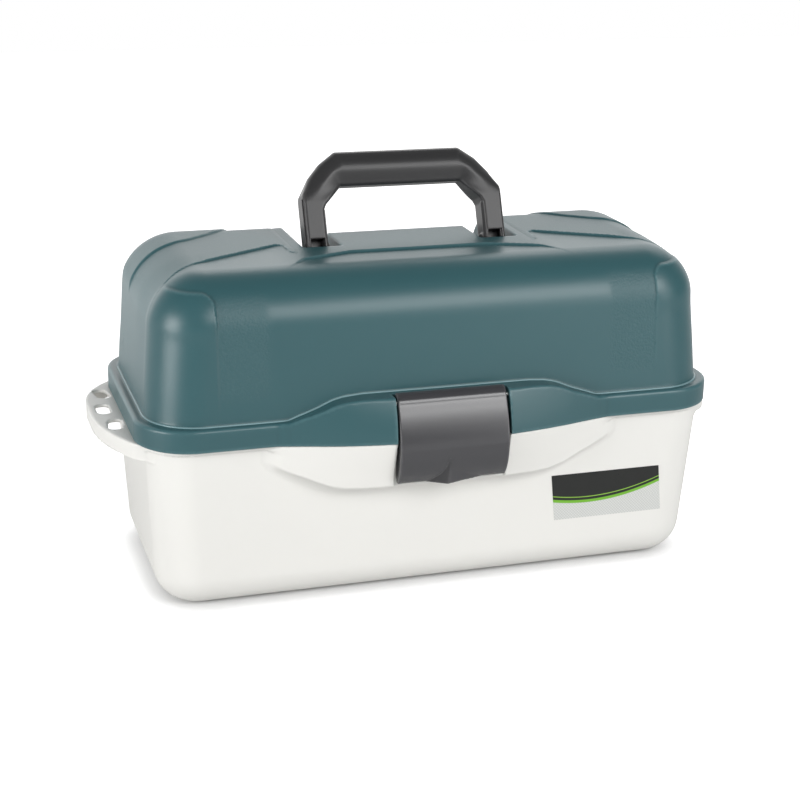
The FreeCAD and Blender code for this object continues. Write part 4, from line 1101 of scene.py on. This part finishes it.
curve = maths(label_tree, "MULTIPLY", maths(label_tree, "MULTIPLY", label_x, label_x), 0.35)
line = maths(label_tree, "ADD", maths(label_tree, "SUBTRACT", label_z, curve),
             maths(label_tree, "MULTIPLY", label_x, -0.25))
pale = maths(label_tree, "MULTIPLY", maths(label_tree, "SUBTRACT", -0.25, line), 60.0, clamp=True)
print_colour = blend_colour(label_tree, pale, (0.010, 0.011, 0.010, 1), (0.62, 0.63, 0.61, 1))
dots = add_node(label_tree, "ShaderNodeTexChecker")
label_tree.links.new(label_place, dots.inputs["Vector"])
dots.inputs["Scale"].default_value = 900.0
screen = maths(label_tree, "MULTIPLY", dots.outputs["Fac"], pale)
screen = maths(label_tree, "MULTIPLY", screen, 0.35)
print_colour = blend_colour(label_tree, screen, print_colour, (0.30, 0.31, 0.30, 1))
for low, high, lime in ((-0.30, -0.16, (0.16, 0.42, 0.03, 1)),
                        (-0.06, -0.01, (0.28, 0.55, 0.06, 1))):
    inside = stripe(label_tree, line, low, high)
    print_colour = blend_colour(label_tree, inside, print_colour, lime)
label_tree.links.new(print_colour, label_shader.inputs["Base Color"])
film = noise(label_tree, label_place, 300.0, 2.0)
label_tree.links.new(maths(label_tree, "ADD", maths(label_tree, "MULTIPLY", film, 0.1), 0.25),
                     label_shader.inputs["Roughness"])

# %% [markdown]
# The trays, arms, rivets, pins and the label keep the shape they were measured with. They only
# need a finish each, which their names decide.

# %% Finishes of the nodes that keep their measured shape
remade = ("lid_shell", "base_tub", "latch", "handle")
for name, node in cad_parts.items():
    if name in remade:
        continue
    if name == "front_sticker":
        paint(node, label)
    elif "rivet" in name or name in ("hinge_pins", "latch_pin"):
        paint(node, steel)
    elif name.startswith("handle_pin"):
        paint(node, grip_grey)
    elif "arm" in name:
        paint(node, arm_black)
    else:
        paint(node, tray_white)
print("nodes painted as they are:", len(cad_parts) - len(remade))

# %% [markdown]
# ## Light and floor
# The photograph is a pack shot: big soft lights, a white sweep and a faint shadow at the foot.
# The lamps stay at a plain level, so each colour renders about as it is written, and the
# white comes from the floor and the world themselves.

# %% Floor
floor_mesh = bpy.data.meshes.new("floor")
half = 3.0
floor_mesh.from_pydata([(-half, -half, 0), (half, -half, 0), (half, half, 0), (-half, half, 0)],
                       [], [(0, 1, 2, 3)])
floor = placed("floor", floor_mesh)
white, white_tree, white_shader = new_finish("sweep_white")
white_shader.inputs["Base Color"].default_value = (0.72, 0.72, 0.72, 1)
white_shader.inputs["Roughness"].default_value = 0.9
white_shader.inputs["Specular IOR Level"].default_value = 0.1
path = add_node(white_tree, "ShaderNodeLightPath")
spot = add_node(white_tree, "ShaderNodeNewGeometry").outputs["Position"]
reach = add_node(white_tree, "ShaderNodeVectorMath", operation="LENGTH")
white_tree.links.new(spot, reach.inputs[0])
far_share = ranged(white_tree, reach.outputs["Value"], 0.35, 1.2, 0.92, 0.98)
# Near the box the glow fades with ambient occlusion: a painted contact shadow on top of the real
# one.
corner_shade = add_node(white_tree, "ShaderNodeAmbientOcclusion", samples=8)
corner_shade.inputs["Distance"].default_value = 0.022
open_share = maths(white_tree, "POWER", corner_shade.outputs["AO"], 1.6)
glow = maths(white_tree, "MULTIPLY", path.outputs["Is Camera Ray"], far_share)
glow = maths(white_tree, "MULTIPLY", glow, open_share)
apart_floor = add_node(white_tree, "ShaderNodeSeparateXYZ")
white_tree.links.new(spot, apart_floor.inputs[0])
behind_box = maths(white_tree, "SUBTRACT", apart_floor.outputs["Y"], 0.15)
behind_box = maths(white_tree, "MULTIPLY", behind_box, 1.2, clamp=True)
mirrored = maths(white_tree, "MULTIPLY", path.outputs["Is Glossy Ray"],
                 maths(white_tree, "MULTIPLY", behind_box, 0.9))
glow = maths(white_tree, "ADD", glow, mirrored)
white_shader.inputs["Emission Color"].default_value = (1, 1, 1, 1)
white_tree.links.new(glow, white_shader.inputs["Emission Strength"])
floor_mesh.materials.append(white)
print("floor is", 2 * half, "m wide")

# %% [markdown]
# The room that the plastic mirrors is brightest behind the box, where the white sweep hangs,
# and dims overhead. Four lamps do the rest: a softbox in front, a fill at the right, a
# strip behind that draws the light line on the top, and a tall strip at the left end.

# %% World and lamps
world = bpy.data.worlds.new("studio")
scene.world = world
world.use_nodes = True
world_tree = world.node_tree
sky = world_tree.nodes["Background"]
world_path = add_node(world_tree, "ShaderNodeLightPath")
heading = add_node(world_tree, "ShaderNodeSeparateXYZ")
world_tree.links.new(add_node(world_tree, "ShaderNodeTexCoord").outputs["Generated"],
                     heading.inputs[0])
behind = ranged(world_tree, heading.outputs["Y"], 0.2, 0.95, 0.12, 1.75)
room_level = 0.34
overhead = ranged(world_tree, heading.outputs["Z"], 0.35, 0.8, 1.0, 0.25)
wall_level = maths(world_tree, "MULTIPLY", behind, overhead)
mirrored_room = maths(world_tree, "SUBTRACT", wall_level, room_level)
sky_level = maths(world_tree, "ADD", room_level,
                  maths(world_tree, "MULTIPLY", world_path.outputs["Is Glossy Ray"], mirrored_room))
to_white = maths(world_tree, "SUBTRACT", 1.0, sky_level)
sky_level = maths(world_tree, "ADD", sky_level,
                  maths(world_tree, "MULTIPLY", world_path.outputs["Is Camera Ray"], to_white))
sky.inputs["Color"].default_value = (1, 1, 1, 1)
world_tree.links.new(sky_level, sky.inputs["Strength"])


def lamp(name, azimuth, elevation, distance, width, height, energy):
    """A soft rectangular lamp round the box; azimuth 0 is straight in front of it."""
    data = bpy.data.lights.new(name, "AREA")
    data.shape = "RECTANGLE"
    data.size = width
    data.size_y = height
    data.energy = energy
    piece = placed(name, data)
    turn, rise = math.radians(azimuth), math.radians(elevation)
    toward = Vector((math.sin(turn) * math.cos(rise), -math.cos(turn) * math.cos(rise),
                     math.sin(rise)))
    piece.location = Vector((0, 0, 0.13)) + toward * distance
    piece.rotation_mode = "QUATERNION"
    piece.rotation_quaternion = toward.to_track_quat("Z", "Y")
    print(name, "gives", energy, "W")


lamp("front_softbox", 22, 32, 2.0, 1.5, 0.75, 21.5)
lamp("right_fill", 37, 12, 2.0, 1.1, 1.2, 9.0)
lamp("rear_softbox", 150, 40, 1.8, 1.6, 0.35, 3.5)
lamp("left_strip", -72, 2, 1.7, 0.75, 1.3, 28.0)

scene.view_settings.view_transform = "Standard"
